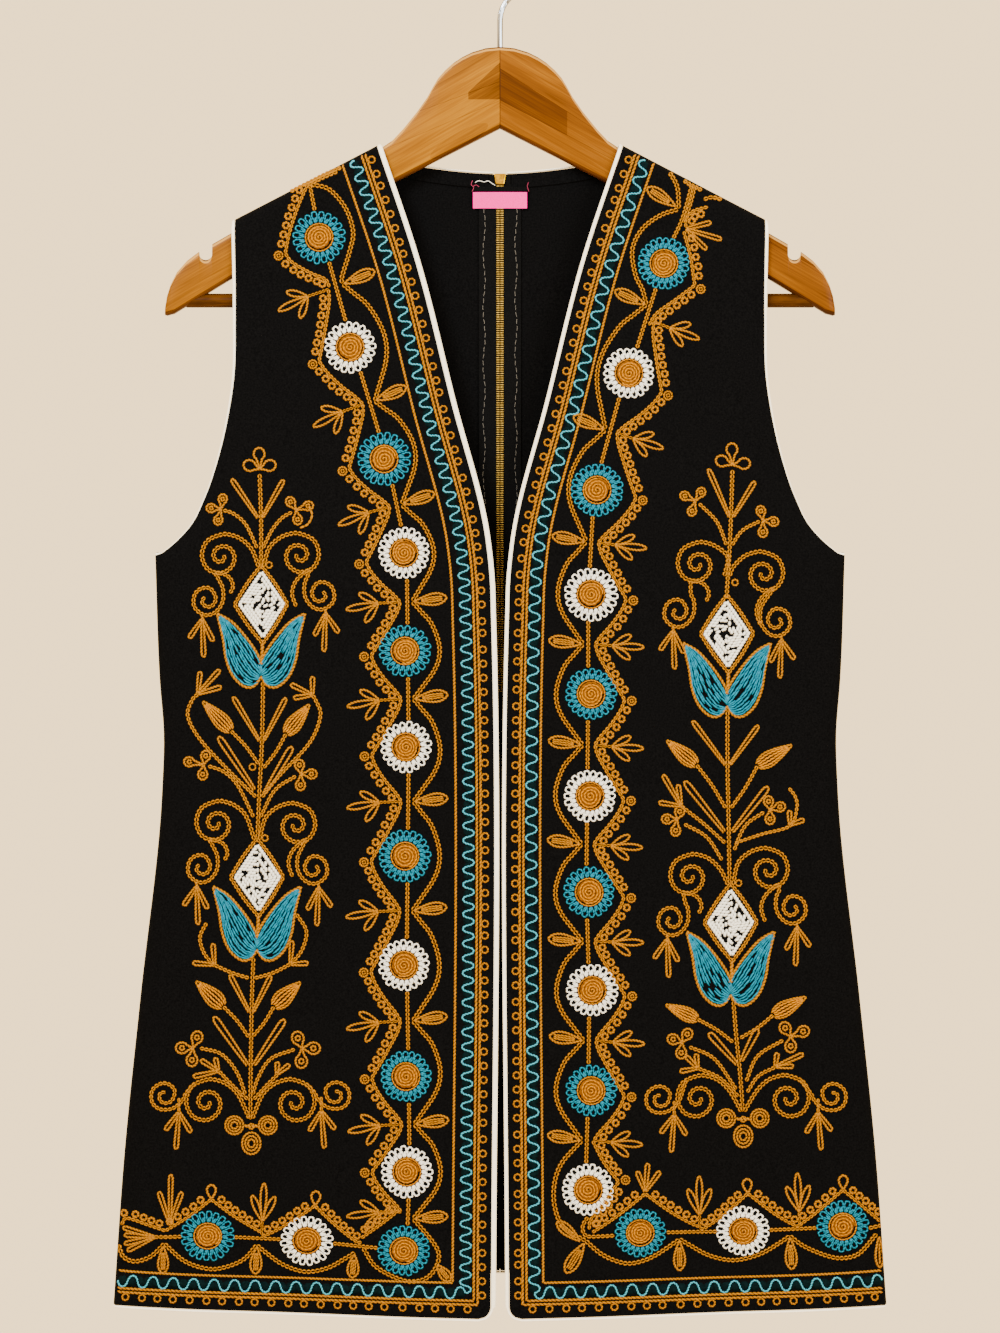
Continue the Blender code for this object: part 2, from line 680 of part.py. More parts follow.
def build_pull(materials, collection, hinge_y):
    """Flat tab whose eye goes round the slider's bail, hanging down."""
    half = PULL_WIDTH / 2
    outline = [(-half, EYE_BAR), (half, EYE_BAR)]
    steps = 8
    for index in range(steps + 1):
        turn = math.pi * index / steps
        outline.append((half * math.cos(turn), half - PULL_LENGTH - half * math.sin(turn)))
    eye = [(-EYE_WIDTH / 2, -EYE_BAR), (EYE_WIDTH / 2, -EYE_BAR),
           (EYE_WIDTH / 2, -EYE_END), (-EYE_WIDTH / 2, -EYE_END)]
    pull = plate("zip_pull", (outline, eye), PULL_THICKNESS / 2, collection, materials["brass"])
    pull.location = (0.0, hinge_y, SLIDER_Z)


def wood_section(x):
    """Rounded section of an arm: points (y, z) at a distance from the centre."""
    top = WOOD_TOP_Z - straight(WOOD_TOP, x)
    bottom = WOOD_TOP_Z - straight(WOOD_BOTTOM, x)
    tip = WOOD_TOP[-1][0]
    nose = min(1.0, (tip - x) / WOOD_HALF_THICKNESS)
    half = WOOD_HALF_THICKNESS * (0.6 + 0.4 * math.sqrt(1 - (1 - nose) ** 2))
    radius = min(WOOD_ROUND, 0.45 * (top - bottom))
    points = []
    for corner, (sign_y, sign_z) in enumerate(((1, 1), (-1, 1), (-1, -1), (1, -1))):
        level = top if sign_z > 0 else bottom
        for step in range(3):
            turn = math.radians(90 * corner + 45 * step)
            y = sign_y * (half - radius) + radius * math.cos(turn)
            points.append((y, level - sign_z * radius + radius * math.sin(turn)))
    return points


def build_arm(materials, collection, cutters, side, name):
    body = bmesh.new()
    rings = []
    for x in [max(row[0], HALF_GAP) for row in WOOD_TOP]:
        rings.append([body.verts.new((side * x, y, z)) for y, z in wood_section(x)])
    count = len(rings[0])
    for ring, following in zip(rings, rings[1:]):
        for index in range(count):
            second = (index + 1) % count
            body.faces.new((ring[index], ring[second], following[second], following[index]))
    body.faces.new(rings[0])
    body.faces.new(rings[-1])
    arm = bmesh_to_object("hanger_arm_" + name, body, materials["wood"], collection)

    outline = []
    steps = 8
    for index in range(steps + 1):
        turn = math.pi * (1 + index / steps)
        outline.append((side * NOTCH_X + NOTCH_RADIUS * math.cos(turn),
                        WOOD_TOP_Z - NOTCH_DROP + NOTCH_RADIUS * math.sin(turn)))
    outline.append((side * NOTCH_X + NOTCH_RADIUS, WOOD_TOP_Z - NOTCH_DROP + 4 * NOTCH_RADIUS))
    outline.append((side * NOTCH_X - NOTCH_RADIUS, WOOD_TOP_Z - NOTCH_DROP + 4 * NOTCH_RADIUS))
    notch = plate("notch_" + name, (outline,), 2 * WOOD_HALF_THICKNESS, cutters, materials["wood"])
    add_boolean(arm, as_cutter(notch), "DIFFERENCE")

    ends = sorted((side * BAR_INNER_END, side * (BAR_OUTER_END + GAP)))
    socket = rod("socket_" + name, BAR_RADIUS + GAP, (ends[0], 0.0, BAR_Z), (ends[1], 0.0, BAR_Z), 0,
                 cutters, materials["wood"])
    add_boolean(arm, as_cutter(socket), "DIFFERENCE")
    ends = sorted((side * BAR_INNER_END, side * BAR_OUTER_END))
    rod("hanger_bar_" + name, BAR_RADIUS, (ends[0], 0.0, BAR_Z), (ends[1], 0.0, BAR_Z), 0,
        collection, materials["wood"])

    bore = rod("bore_" + name, HOOK_RADIUS + GAP, (0.0, 0.0, WOOD_TOP_Z - HOOK_DEPTH_IN_WOOD - GAP),
               (0.0, 0.0, WOOD_TOP_Z + HOOK_DEPTH_IN_WOOD), 2, cutters, materials["wood"], 12)
    add_boolean(arm, as_cutter(bore), "DIFFERENCE")


def hook_path():
    """Stem, a bend to the side and a round hook over the top."""
    path = [(0.0, 0.0, WOOD_TOP_Z - HOOK_DEPTH_IN_WOOD), (0.0, 0.0, WOOD_TOP_Z)]
    bend_z = WOOD_TOP_Z + HOOK_STRAIGHT
    for angle in range(180, 119, -12):
        turn = math.radians(angle)
        path.append((HOOK_BEND_RADIUS * (1 + math.cos(turn)), 0.0, bend_z + HOOK_BEND_RADIUS * math.sin(turn)))
    middle_z = HOOK_RADIUS - HOOK_BEND_RADIUS
    for angle in range(-45, 196, 15):
        turn = math.radians(angle)
        path.append((HOOK_BEND_RADIUS * math.cos(turn), 0.0, middle_z + HOOK_BEND_RADIUS * math.sin(turn)))
    end_x, _, end_z = path[-1]
    path.append((end_x - 0.0015, 0.0, end_z - 0.0045))
    return path


def build_hanger(materials, collection, cutters):
    build_arm(materials, collection, cutters, -1, "right")
    build_arm(materials, collection, cutters, 1, "left")
    tube("hanger_hook", hook_path(), HOOK_RADIUS, collection, materials["chrome"])


def main():
    clear_scene()
    vest = make_collection("folk_vest_on_hanger")
    cutters = make_collection("cutters")
    materials = {
        "cloth": make_material("vest_cloth", CLOTH),
        "cream": make_material("piping_cream", CREAM),
        "tape": make_material("zip_tape", TAPE),
        "brass": make_material("zip_metal", BRASS),
        "pink": make_material("label_weave", PINK),
        "wood": make_material("hanger_wood", WOOD),
        "chrome": make_material("hook_steel", CHROME),
    }
    for side, name in ((-1, "right"), (1, "left")):
        build_front(materials, vest, side, name)
        build_back(materials, vest, side, name)
        build_facing(materials, vest, side, name)
        build_tape(materials, vest, side, name)
    build_chain(materials, vest)
    build_label(materials, vest)
    hinge_y = build_slider(materials, vest, cutters)
    build_pull(materials, vest, hinge_y)
    build_hanger(materials, vest, cutters)


main()
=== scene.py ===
"""Looks of the embroidered folk vest on its wooden hanger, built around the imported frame."""

import math
import random

import bmesh
import bpy
import numpy as np
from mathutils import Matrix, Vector


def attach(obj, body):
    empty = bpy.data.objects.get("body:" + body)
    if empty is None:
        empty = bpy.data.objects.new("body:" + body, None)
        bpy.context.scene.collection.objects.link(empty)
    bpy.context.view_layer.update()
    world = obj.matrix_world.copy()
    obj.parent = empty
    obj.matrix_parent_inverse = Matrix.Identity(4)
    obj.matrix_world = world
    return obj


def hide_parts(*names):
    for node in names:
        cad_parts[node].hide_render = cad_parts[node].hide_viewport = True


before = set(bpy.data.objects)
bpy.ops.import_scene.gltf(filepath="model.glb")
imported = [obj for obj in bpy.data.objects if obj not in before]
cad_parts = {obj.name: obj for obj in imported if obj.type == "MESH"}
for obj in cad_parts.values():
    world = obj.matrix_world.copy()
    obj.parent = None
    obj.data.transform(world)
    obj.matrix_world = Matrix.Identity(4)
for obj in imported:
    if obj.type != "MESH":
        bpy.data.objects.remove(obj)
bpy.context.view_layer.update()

BODY = "vest"

# Photograph: pixels to metres at the hanger's plane
PHOTO_CENTRE_X = 500.0
PHOTO_WOOD_TOP_Y = 45.0
PIXELS_PER_METRE = 1512.0
PHOTO_HEIGHT = 1333.0
WOOD_TOP_DEPTH = 0.0707


def photo_y(height):
    return PHOTO_WOOD_TOP_Y + (-height - WOOD_TOP_DEPTH) * PIXELS_PER_METRE


def photo_height(y):
    return -(WOOD_TOP_DEPTH + (y - PHOTO_WOOD_TOP_Y) / PIXELS_PER_METRE)


# Cloth, as in the part's source
WALL = 0.0016
GAP = 0.0003
HALF_GAP = GAP / 2
SECTION_POWER = 3.2
NECK_POINT = (0.0794, -0.1349)
SHOULDER_TIP = (0.1782, -0.1864)
SHOULDER_DEPTH = 0.0100
SHOULDER_DROP = 0.0065
UNDERARM_Z = -0.4080
UNDERARM_INNER_Z = -0.4000
HEM_CENTRE_Z = -0.9146
HEM_SIDE_Z = -0.9067
BACK_HEM_LIFT = 0.0280
FRONT_CORNER_RADIUS = 0.0080
ARMHOLE_STRAIGHT_Z = -0.2500
FRONT_EDGE = ((-0.9146, 0.0030), (-0.4500, 0.0030), (-0.4250, 0.0038), (-0.3981, 0.0066),
              (-0.3055, 0.0298), (-0.2122, 0.0536), (-0.1349, 0.0794))
SIDE_SEAM = ((-0.9067, 0.2566), (-0.8015, 0.2490), (-0.7023, 0.2388), (-0.5634, 0.2242),
             (-0.5271, 0.2231), (-0.4907, 0.2258), (-0.4080, 0.2288))
ARMHOLE = ((-0.4080, 0.2288), (-0.4014, 0.2202), (-0.3901, 0.2090), (-0.3696, 0.1981),
           (-0.3458, 0.1898), (-0.3174, 0.1829), (-0.2896, 0.1786), (-0.2526, 0.1776),
           (-0.1864, 0.1782))
DEPTH = ((-0.9150, 0.0215), (-0.7000, 0.0185), (-0.5300, 0.0160), (-0.4080, 0.0150),
         (-0.3000, 0.0125), (-0.2000, 0.0106), (-0.1300, 0.0102))
FRONT_FOLDS = ((0.060, 0.030, 0.0022), (0.145, 0.034, -0.0026), (0.205, 0.024, 0.0016))
BACK_FOLDS = ((0.070, 0.034, -0.0024), (0.150, 0.036, 0.0028))
FOLD_START_Z = -0.5600

BACK_NECK_LOW_Z = -0.1527
BACK_NECK_CURVE = 1.8
ZIP_HALF_OPENING = 0.0048
ZIP_END_Z = -0.5000
FRONT_PIPING = 0.0030
HEM_PIPING = 0.0018
ARMHOLE_PIPING = 0.0024
NECK_PIPING = 0.0012
PIPING_HEIGHT = 0.0022
PIPING_SIDES = 12


def mix(low, high, share):
    return low + (high - low) * share


def smooth_table(table, key):
    """Smooth curve through a table of (key, value) rows, for one key or an array of them."""
    keys, values = np.array(table).T
    slopes = np.gradient(values, keys)
    key = np.clip(key, keys[0], keys[-1])
    index = np.clip(np.searchsorted(keys, key) - 1, 0, len(keys) - 2)
    span = keys[index + 1] - keys[index]
    t = (key - keys[index]) / span
    start = (1 + 2 * t) * (1 - t) ** 2 * values[index] + t * (1 - t) ** 2 * span * slopes[index]
    end = t * t * (3 - 2 * t) * values[index + 1] + t * t * (t - 1) * span * slopes[index + 1]
    return start + end


def armhole_depth(height):
    fall = np.clip((ARMHOLE_STRAIGHT_Z - height) / (ARMHOLE_STRAIGHT_Z - UNDERARM_Z), 0.0, 1.0)
    return SHOULDER_DEPTH * np.sqrt(1 - fall * fall)


def outer_edge(height):
    low = smooth_table(SIDE_SEAM, height)
    high = smooth_table(ARMHOLE, height) - ARMHOLE_PIPING - GAP
    return np.where(height <= UNDERARM_Z, low, high)


def shoulder_line(x):
    slope = (SHOULDER_TIP[1] - NECK_POINT[1]) / (SHOULDER_TIP[0] - NECK_POINT[0])
    return NECK_POINT[1] + slope * (x - NECK_POINT[0])


def front_edge(height):
    edge = smooth_table(FRONT_EDGE, height) + FRONT_PIPING + GAP
    lift = np.clip(height - (HEM_CENTRE_Z + HEM_PIPING + GAP), 0.0, FRONT_CORNER_RADIUS)
    inside = FRONT_CORNER_RADIUS - lift
    return edge + FRONT_CORNER_RADIUS - np.sqrt(FRONT_CORNER_RADIUS ** 2 - inside ** 2)


def fold_depth(x, height, folds):
    fall = np.clip((FOLD_START_Z - height) / (FOLD_START_Z - HEM_CENTRE_Z), 0.0, None)
    total = 0.0
    for centre, half_width, depth in folds:
        reach = (x - centre * (0.9 + 0.1 * fall)) / half_width
        total = total + depth * np.exp(-reach * reach)
    return total * fall ** 1.5


def panel_depth(x, width, height, edge_height, folds):
    edge = armhole_depth(edge_height)
    full = smooth_table(DEPTH, height) + fold_depth(x, height, folds)
    share = np.clip(x / width, 0.0, 1.0)
    rounding = np.clip(1 - share ** SECTION_POWER, 0.0, 1.0) ** (1 / SECTION_POWER)
    return edge + (full - edge) * rounding


TIP_Z = float(shoulder_line(outer_edge(SHOULDER_TIP[1])))
FRONT_NECK_Z = float(shoulder_line(NECK_POINT[0] + FRONT_PIPING + GAP))
LOW_CENTRE_Z = HEM_CENTRE_Z + HEM_PIPING + GAP
LOW_SIDE_Z = HEM_SIDE_Z + HEM_PIPING + GAP


def stations(low, middle, foot, top, climb):
    """Height along a row's end: hem to underarm, underarm to shoulder, then over the shoulder."""
    body = np.interp(climb, (0.0, 1.0, 2.0), (low, middle, foot))
    angle = np.radians(90.0 * np.clip(3.0 - climb, 0.0, 1.0))
    over = top - SHOULDER_DROP * (1 - np.cos(angle))
    return np.where(climb > 2.0, over, body)


def front_centre(climb):
    return stations(LOW_CENTRE_Z, UNDERARM_INNER_Z, FRONT_NECK_Z - SHOULDER_DROP, FRONT_NECK_Z, climb)


def front_side(climb):
    return stations(LOW_SIDE_Z, UNDERARM_Z, TIP_Z - SHOULDER_DROP, TIP_Z, climb)


# Creases, given as (distance from the centre, height, half width, half length, lean, depth)
FRONT_CREASES = {
    -1: ((0.150, -0.300, 0.010, 0.070, 0.30, -0.0009),
         (0.120, -0.250, 0.008, 0.050, 0.45, -0.0006),
         (0.165, -0.470, 0.012, 0.080, -0.25, -0.0008),
         (0.105, -0.640, 0.013, 0.110, 0.10, 0.0007),
         (0.185, -0.690, 0.012, 0.120, -0.12, -0.0008),
         (0.060, -0.540, 0.010, 0.080, 0.16, -0.0005),
         (0.205, -0.520, 0.008, 0.050, -0.55, 0.0006)),
    1: ((0.140, -0.280, 0.011, 0.060, 0.25, -0.0008),
        (0.100, -0.330, 0.009, 0.070, 0.38, -0.0006),
        (0.175, -0.450, 0.011, 0.060, -0.35, -0.0009),
        (0.120, -0.600, 0.014, 0.100, -0.08, 0.0007),
        (0.170, -0.730, 0.013, 0.130, -0.15, -0.0008),
        (0.070, -0.680, 0.010, 0.110, 0.12, -0.0005),
        (0.205, -0.540, 0.009, 0.060, -0.45, 0.0006)),
}
BACK_CREASES = {
    -1: ((0.100, -0.300, 0.012, 0.090, 0.20, -0.0009),
         (0.150, -0.450, 0.014, 0.090, -0.30, -0.0009),
         (0.050, -0.560, 0.011, 0.100, 0.15, 0.0007),
         (0.190, -0.620, 0.012, 0.110, -0.18, -0.0008),
         (0.120, -0.760, 0.015, 0.130, 0.08, 0.0008)),
    1: ((0.115, -0.320, 0.011, 0.080, 0.28, -0.0009),
        (0.165, -0.430, 0.012, 0.080, -0.35, -0.0008),
        (0.060, -0.600, 0.012, 0.110, 0.10, 0.0007),
        (0.180, -0.660, 0.013, 0.120, -0.12, -0.0009),
        (0.095, -0.780, 0.013, 0.120, 0.12, 0.0008)),
}


def creases(x, z, table):
    """Soft troughs and ridges, fading at their ends."""
    total = 0.0
    for centre, height, half_width, half_length, lean, depth in table:
        along = (z - height) / half_length
        across = (x - centre - lean * (z - height)) / half_width
        total = total + depth * np.exp(-across * across - along * along)
    return total


def front_rows(share, climb, side):
    """Outer point (x, depth, z) of a front from the share across a row and the climb up the panel."""
    centre_z = front_centre(climb)
    side_z = front_side(climb)
    outer = outer_edge(side_z)
    x = mix(front_edge(centre_z), outer, share)
    z = mix(centre_z, side_z, share)
    turn = np.sin(np.radians(90.0 * np.clip(3.0 - climb, 0.0, 1.0)))
    depth = panel_depth(x, outer, z, side_z, FRONT_FOLDS) * turn
    return x, np.maximum(depth + creases(x, z, FRONT_CREASES[side]) * turn, HALF_GAP), z


USUAL_OUTER_X = 0.22
SEARCH_STEPS = 8


def front_depth(x, z, side):
    """Depth of the front at places given as seen from the front."""
    share = np.clip(x / USUAL_OUTER_X, 0.0, 1.0)
    climb = np.zeros_like(x)
    for _ in range(SEARCH_STEPS):
        low = mix(LOW_CENTRE_Z, LOW_SIDE_Z, share)
        middle = mix(UNDERARM_INNER_Z, UNDERARM_Z, share)
        top = mix(FRONT_NECK_Z, TIP_Z, share)
        foot = top - SHOULDER_DROP
        drop = np.clip((top - z) / SHOULDER_DROP, 0.0, 1.0)
        over = 3.0 - np.degrees(np.arccos(1 - drop)) / 90.0
        lower = (z - low) / (middle - low)
        upper = 1.0 + (z - middle) / (foot - middle)
        climb = np.where(z > foot, over, np.where(z > middle, upper, lower))
        climb = np.clip(climb, 0.0, 3.0)
        inner = front_edge(front_centre(climb))
        outer = outer_edge(front_side(climb))
        share = (x - inner) / (outer - inner)
    side_z = front_side(climb)
    turn = np.sin(np.radians(90.0 * np.clip(3.0 - climb, 0.0, 1.0)))
    depth = panel_depth(x, outer_edge(side_z), z, side_z, FRONT_FOLDS)
    return np.maximum((depth + creases(x, z, FRONT_CREASES[side])) * turn, HALF_GAP)


def new_mesh(name, points, faces, materials, smooth=True, sharp=60):
    """Mesh object from arrays, riding on the vest."""
    mesh = bpy.data.meshes.new(name)
    mesh.from_pydata([tuple(map(float, point)) for point in points], [], faces)
    mesh.update()
    builder = bmesh.new()
    builder.from_mesh(mesh)
    bmesh.ops.recalc_face_normals(builder, faces=builder.faces)
    builder.to_mesh(mesh)
    builder.free()
    if smooth:
        mesh.shade_smooth()
        mesh.set_sharp_from_angle(angle=math.radians(sharp))
    item = bpy.data.objects.new(name, mesh)
    bpy.context.scene.collection.objects.link(item)
    for material in materials:
        mesh.materials.append(material)
    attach(item, BODY)
    return item


def wall_faces(rows, columns):
    """Faces of a closed wall between two grids of rows by columns points."""
    count = rows * columns
    faces = []
    for layer in (0, count):
        for row in range(rows - 1):
            for column in range(columns - 1):
                first = layer + row * columns + column
                faces.append((first, first + 1, first + columns + 1, first + columns))
    rim = list(range(columns))
    rim += [row * columns + columns - 1 for row in range(1, rows)]
    rim += [(rows - 1) * columns + column for column in range(columns - 2, -1, -1)]
    rim += [row * columns for row in range(rows - 2, 0, -1)]
    for index, place in enumerate(rim):
        following = rim[(index + 1) % len(rim)]
        faces.append((place, following, following + count, place + count))
    return faces


def grid_normals(grid, outward, seam_rows, centre_seam):
    """Unit normals, square to the side, shoulder and centre planes at those seams."""
    across = np.gradient(grid, axis=1)
    along = np.gradient(grid, axis=0)
    normals = np.cross(across, along)
    normals *= np.sign(normals[:, :1, 1:2]) * outward
    on_seam = grid[-1, :, 1] * outward <= HALF_GAP * 1.01
    normals[-1, :, 1] = np.where(on_seam, 0.0, normals[-1, :, 1])
    normals[: seam_rows, -1, 1] = 0.0
    if centre_seam:
        normals[:, 0, 0] = 0.0
    return normals / np.linalg.norm(normals, axis=2, keepdims=True)


def cloth_piece(name, grid, normals, side, node):
    """Closed cloth wall of the wearer's left (side 1) or right (side -1)."""
    outer = grid * np.array((side, 1.0, 1.0))
    inner = (grid - WALL * normals) * np.array((side, 1.0, 1.0))
    rows, columns = grid.shape[:2]
    points = np.concatenate((outer.reshape(-1, 3), inner.reshape(-1, 3)))
    item = new_mesh(name, points, wall_faces(rows, columns), [CLOTH])
    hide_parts(node)
    declare_cloth(grid)


BACK_END_X = NECK_POINT[0] + NECK_PIPING + GAP
TIP_X = float(outer_edge(SHOULDER_TIP[1]))

# Columns of a back half: share across, distance from the centre at the top, angle at the top
BACK_TOPS = ((0.00, 0.0048, 90.0), (0.12, 0.0280, 90.0), (0.22, 0.0520, 90.0), (0.31, 0.0750, 90.0),
             (0.38, 0.0791, 72.0), (0.43, 0.0805, 36.0), (0.48, BACK_END_X, 0.0), (1.00, TIP_X, 0.0))


def shoulder_drop(angle):
    """Fall below the shoulder seam where the cloth has turned by an angle round the arm."""
    return SHOULDER_DROP * (1 - np.cos(np.radians(angle)))


def back_neck(x):
    """Height of the back neck edge inside its piping."""
    share = np.clip(x / BACK_END_X, 0.0, 1.0)
    rise = shoulder_line(BACK_END_X) - SHOULDER_DROP - BACK_NECK_LOW_Z
    return BACK_NECK_LOW_Z + rise * share ** BACK_NECK_CURVE - NECK_PIPING - GAP


def back_rows(share, climb, side):
    """Outer point (x, depth, z) of a back half from the share across a row and the climb."""
    shares, reaches, angles = np.array(BACK_TOPS).T
    top_x = np.interp(share, shares, reaches)
    top_angle = np.interp(share, shares, angles)
    seam_z = np.where(top_x < BACK_END_X, shoulder_line(BACK_END_X), shoulder_line(top_x))
    top_z = np.where(top_angle >= 90.0, back_neck(top_x), seam_z - shoulder_drop(top_angle))
    spare = SHOULDER_DROP * top_angle / 90.0
    foot_z = top_z - SHOULDER_DROP + shoulder_drop(top_angle) - spare
    low = np.clip(climb, 0.0, 1.0)
    rise = np.clip(climb - 1.0, 0.0, 1.0)
    turned = np.clip(climb - 2.0, 0.0, 1.0)
    centre_z = mix(LOW_CENTRE_Z + BACK_HEM_LIFT, UNDERARM_INNER_Z, low)
    side_z = mix(LOW_SIDE_Z, UNDERARM_Z, low)
    low_z = mix(centre_z, side_z, share ** (2.0 - low))
    zip_edge = np.where(centre_z >= ZIP_END_Z, ZIP_HALF_OPENING, HALF_GAP)
    low_x = mix(zip_edge, outer_edge(side_z), share)
    angle = mix(90.0, top_angle, turned)
    start_z = mix(UNDERARM_INNER_Z, UNDERARM_Z, share)
    lift = SHOULDER_DROP - shoulder_drop(angle) + spare * turned
    high_z = mix(start_z, foot_z, rise) + lift
    high_side = mix(UNDERARM_Z, TIP_Z - SHOULDER_DROP, rise)
    high_side = high_side + SHOULDER_DROP - shoulder_drop(90.0 * (1 - turned))
    high_outer = outer_edge(high_side)
    high_x = mix(mix(ZIP_HALF_OPENING, high_outer, share), top_x, rise)
    high_x = np.where(share >= 1.0, high_outer, high_x)
    upper = climb > 1.0
    x = np.where(upper, high_x, low_x)
    z = np.where(upper, high_z, low_z)
    end_z = np.where(upper, high_side, side_z)
    depth = panel_depth(x, outer_edge(end_z), z, end_z, BACK_FOLDS) + creases(x, z, BACK_CREASES[side])
    depth = depth * np.sin(np.radians(np.where(upper, angle, 90.0)))
    return x, np.maximum(depth, HALF_GAP), z


def station_list(start, stop, count):
    return np.linspace(start, stop, count, endpoint=False)


# Stations across and up the panels, closest together near their edges
FRONT_SHARES = np.concatenate((station_list(0.0, 0.86, 34), station_list(0.86, 0.975, 8),
                               station_list(0.975, 1.0001, 5)))
FRONT_SHARES = FRONT_SHARES / FRONT_SHARES[-1]
LOWER_CLIMBS = np.concatenate((station_list(0.0, 0.0158, 7), station_list(0.0158, 1.0, 70)))
UPPER_CLIMBS = 1.0 + np.linspace(0.0, 1.0, 45) ** 1.35
OVER_CLIMBS = 2.0 + np.linspace(0.0, 1.0, 9)[1:]
FRONT_CLIMBS = np.concatenate((LOWER_CLIMBS, UPPER_CLIMBS, OVER_CLIMBS))
ZIP_CLIMB = (ZIP_END_Z - LOW_CENTRE_Z - BACK_HEM_LIFT) / (UNDERARM_INNER_Z - LOW_CENTRE_Z - BACK_HEM_LIFT)
BACK_CLIMBS = np.sort(np.concatenate((FRONT_CLIMBS, (ZIP_CLIMB - 0.0025, ZIP_CLIMB))))
UNDERARM_ROW_FRONT = len(LOWER_CLIMBS)
UNDERARM_ROW_BACK = UNDERARM_ROW_FRONT + 2
BACK_SHARES = np.concatenate((station_list(0.0, 0.31, 16), station_list(0.31, 0.48, 12),
                              station_list(0.48, 0.93, 18), station_list(0.93, 1.0001, 7)))
BACK_SHARES = BACK_SHARES / BACK_SHARES[-1]


def outer_grid(rows_function, shares, climbs, outward, side):
    share, climb = np.meshgrid(shares, climbs)
    x, depth, z = rows_function(share, climb, side)
    return np.stack((x, outward * depth, z), axis=2)


def edge_stations(outer, inner, normals, places, within):
    """Middle of the wall's edge, its normal and the direction away from the panel."""
    places = np.array(places)
    within = np.array(within)
    middle = (outer[places[:, 0], places[:, 1]] + inner[places[:, 0], places[:, 1]]) / 2
    inside = (outer[within[:, 0], within[:, 1]] + inner[within[:, 0], within[:, 1]]) / 2
    normal = normals[places[:, 0], places[:, 1]]
    tangent = np.gradient(middle, axis=0)
    away = np.cross(normal, tangent)
    away /= np.linalg.norm(away, axis=1, keepdims=True)
    facing = np.sign(np.sum(away * (middle - inside), axis=1, keepdims=True))
    return middle, normal, away * np.where(facing == 0, 1, facing)


def piping(name, stations, widths, side, closed=False):
    """Cream cord of oval section laid along an edge, one gap away from it."""
    sides = PIPING_SIDES
    middle, normal, away = stations
    widths = np.asarray(widths)[:, None]
    centre = middle + away * (GAP + widths / 2)
    rings = []
    for index in range(sides):
        turn = 2 * math.pi * index / sides
        ring = centre + away * (widths / 2 * math.cos(turn))
        rings.append(ring + normal * (PIPING_HEIGHT / 2 * math.sin(turn)))
    points = np.stack(rings, axis=1).reshape(-1, 3) * np.array((side, 1.0, 1.0))
    count = len(middle)
    faces = []
    for index in range(count if closed else count - 1):
        low, high = index * sides, (index + 1) % count * sides
        for corner in range(sides):
            second = (corner + 1) % sides
            faces.append((low + corner, low + second, high + second, high + corner))
    if not closed:
        faces.append(tuple(range(sides)))
        faces.append(tuple(range((count - 1) * sides, count * sides)))
    item = new_mesh(name + "_cord", points, faces, [CREAM])
    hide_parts(name)
    return item


def colour_ramp(nodes, stops):
    ramp = nodes.new("ShaderNodeValToRGB")
    elements = ramp.color_ramp.elements
    while len(elements) < len(stops):
        elements.new(0.5)
    for element, (place, colour) in zip(elements, stops):
        element.position = place
        element.color = (*colour, 1.0)
    return ramp


def noisy_material(name, dark, light, scale, roughness, metallic=0.0, shine=0.5, bump=0.0,
                   distance=0.0002, stretch=(1.0, 1.0, 1.0)):
    """Principled material whose colour and surface vary with a fine noise."""
    material = bpy.data.materials.new(name)
    material.use_nodes = True
    nodes = material.node_tree.nodes
    links = material.node_tree.links
    shader = nodes["Principled BSDF"]
    place = nodes.new("ShaderNodeTexCoord")
    mapping = nodes.new("ShaderNodeMapping")
    mapping.inputs["Scale"].default_value = stretch
    noise = nodes.new("ShaderNodeTexNoise")
    noise.inputs["Scale"].default_value = scale
    noise.inputs["Detail"].default_value = 4.0
    ramp = colour_ramp(nodes, ((0.3, dark), (0.7, light)))
    links.new(place.outputs["Object"], mapping.inputs["Vector"])
    links.new(mapping.outputs["Vector"], noise.inputs["Vector"])
    links.new(noise.outputs["Fac"], ramp.inputs["Fac"])
    links.new(ramp.outputs["Color"], shader.inputs["Base Color"])
    shader.inputs["Roughness"].default_value = roughness
    shader.inputs["Metallic"].default_value = metallic
    shader.inputs["Specular IOR Level"].default_value = shine
    if bump:
        relief = nodes.new("ShaderNodeBump")
        relief.inputs["Strength"].default_value = bump
        relief.inputs["Distance"].default_value = distance
        links.new(noise.outputs["Fac"], relief.inputs["Height"])
        links.new(relief.outputs["Normal"], shader.inputs["Normal"])
    return material


CLOTH = noisy_material("black_cloth", (0.0008, 0.0008, 0.0010), (0.0024, 0.0024, 0.0027), 900.0, 0.9,
                       bump=0.35, shine=0.02)
CREAM = noisy_material("cream_piping", (0.78, 0.73, 0.60), (0.93, 0.87, 0.72), 1200.0, 0.7, bump=0.3)
TAPE = noisy_material("zip_tape", (0.0010, 0.0010, 0.0012), (0.0030, 0.0030, 0.0033), 1500.0, 0.9,
                      bump=0.3, shine=0.03)
BRASS = noisy_material("zip_brass", (0.20, 0.10, 0.001), (0.50, 0.28, 0.003), 500.0, 0.34, metallic=1.0)
PINK = noisy_material("pink_ribbon", (0.62, 0.004, 0.19), (0.76, 0.012, 0.27), 1500.0, 0.8,
                      bump=0.2, shine=0.04)
# Hook: its colour noise, stretched up and down, paints dark and bright reflection streaks on the chrome
CHROME = noisy_material("hook_chrome", (0.020, 0.021, 0.023), (0.46, 0.47, 0.50), 1.0, 0.16, metallic=1.0,
                        stretch=(1500.0, 500.0, 24.0))


def area_of(points, faces):
    total = 0.0
    for face in faces:
        corners = points[list(face)]
        normal = np.zeros(3)
        for index in range(1, len(face) - 1):
            normal += np.cross(corners[index] - corners[0], corners[index + 1] - corners[0])
        total += np.linalg.norm(normal) / 2
    return total


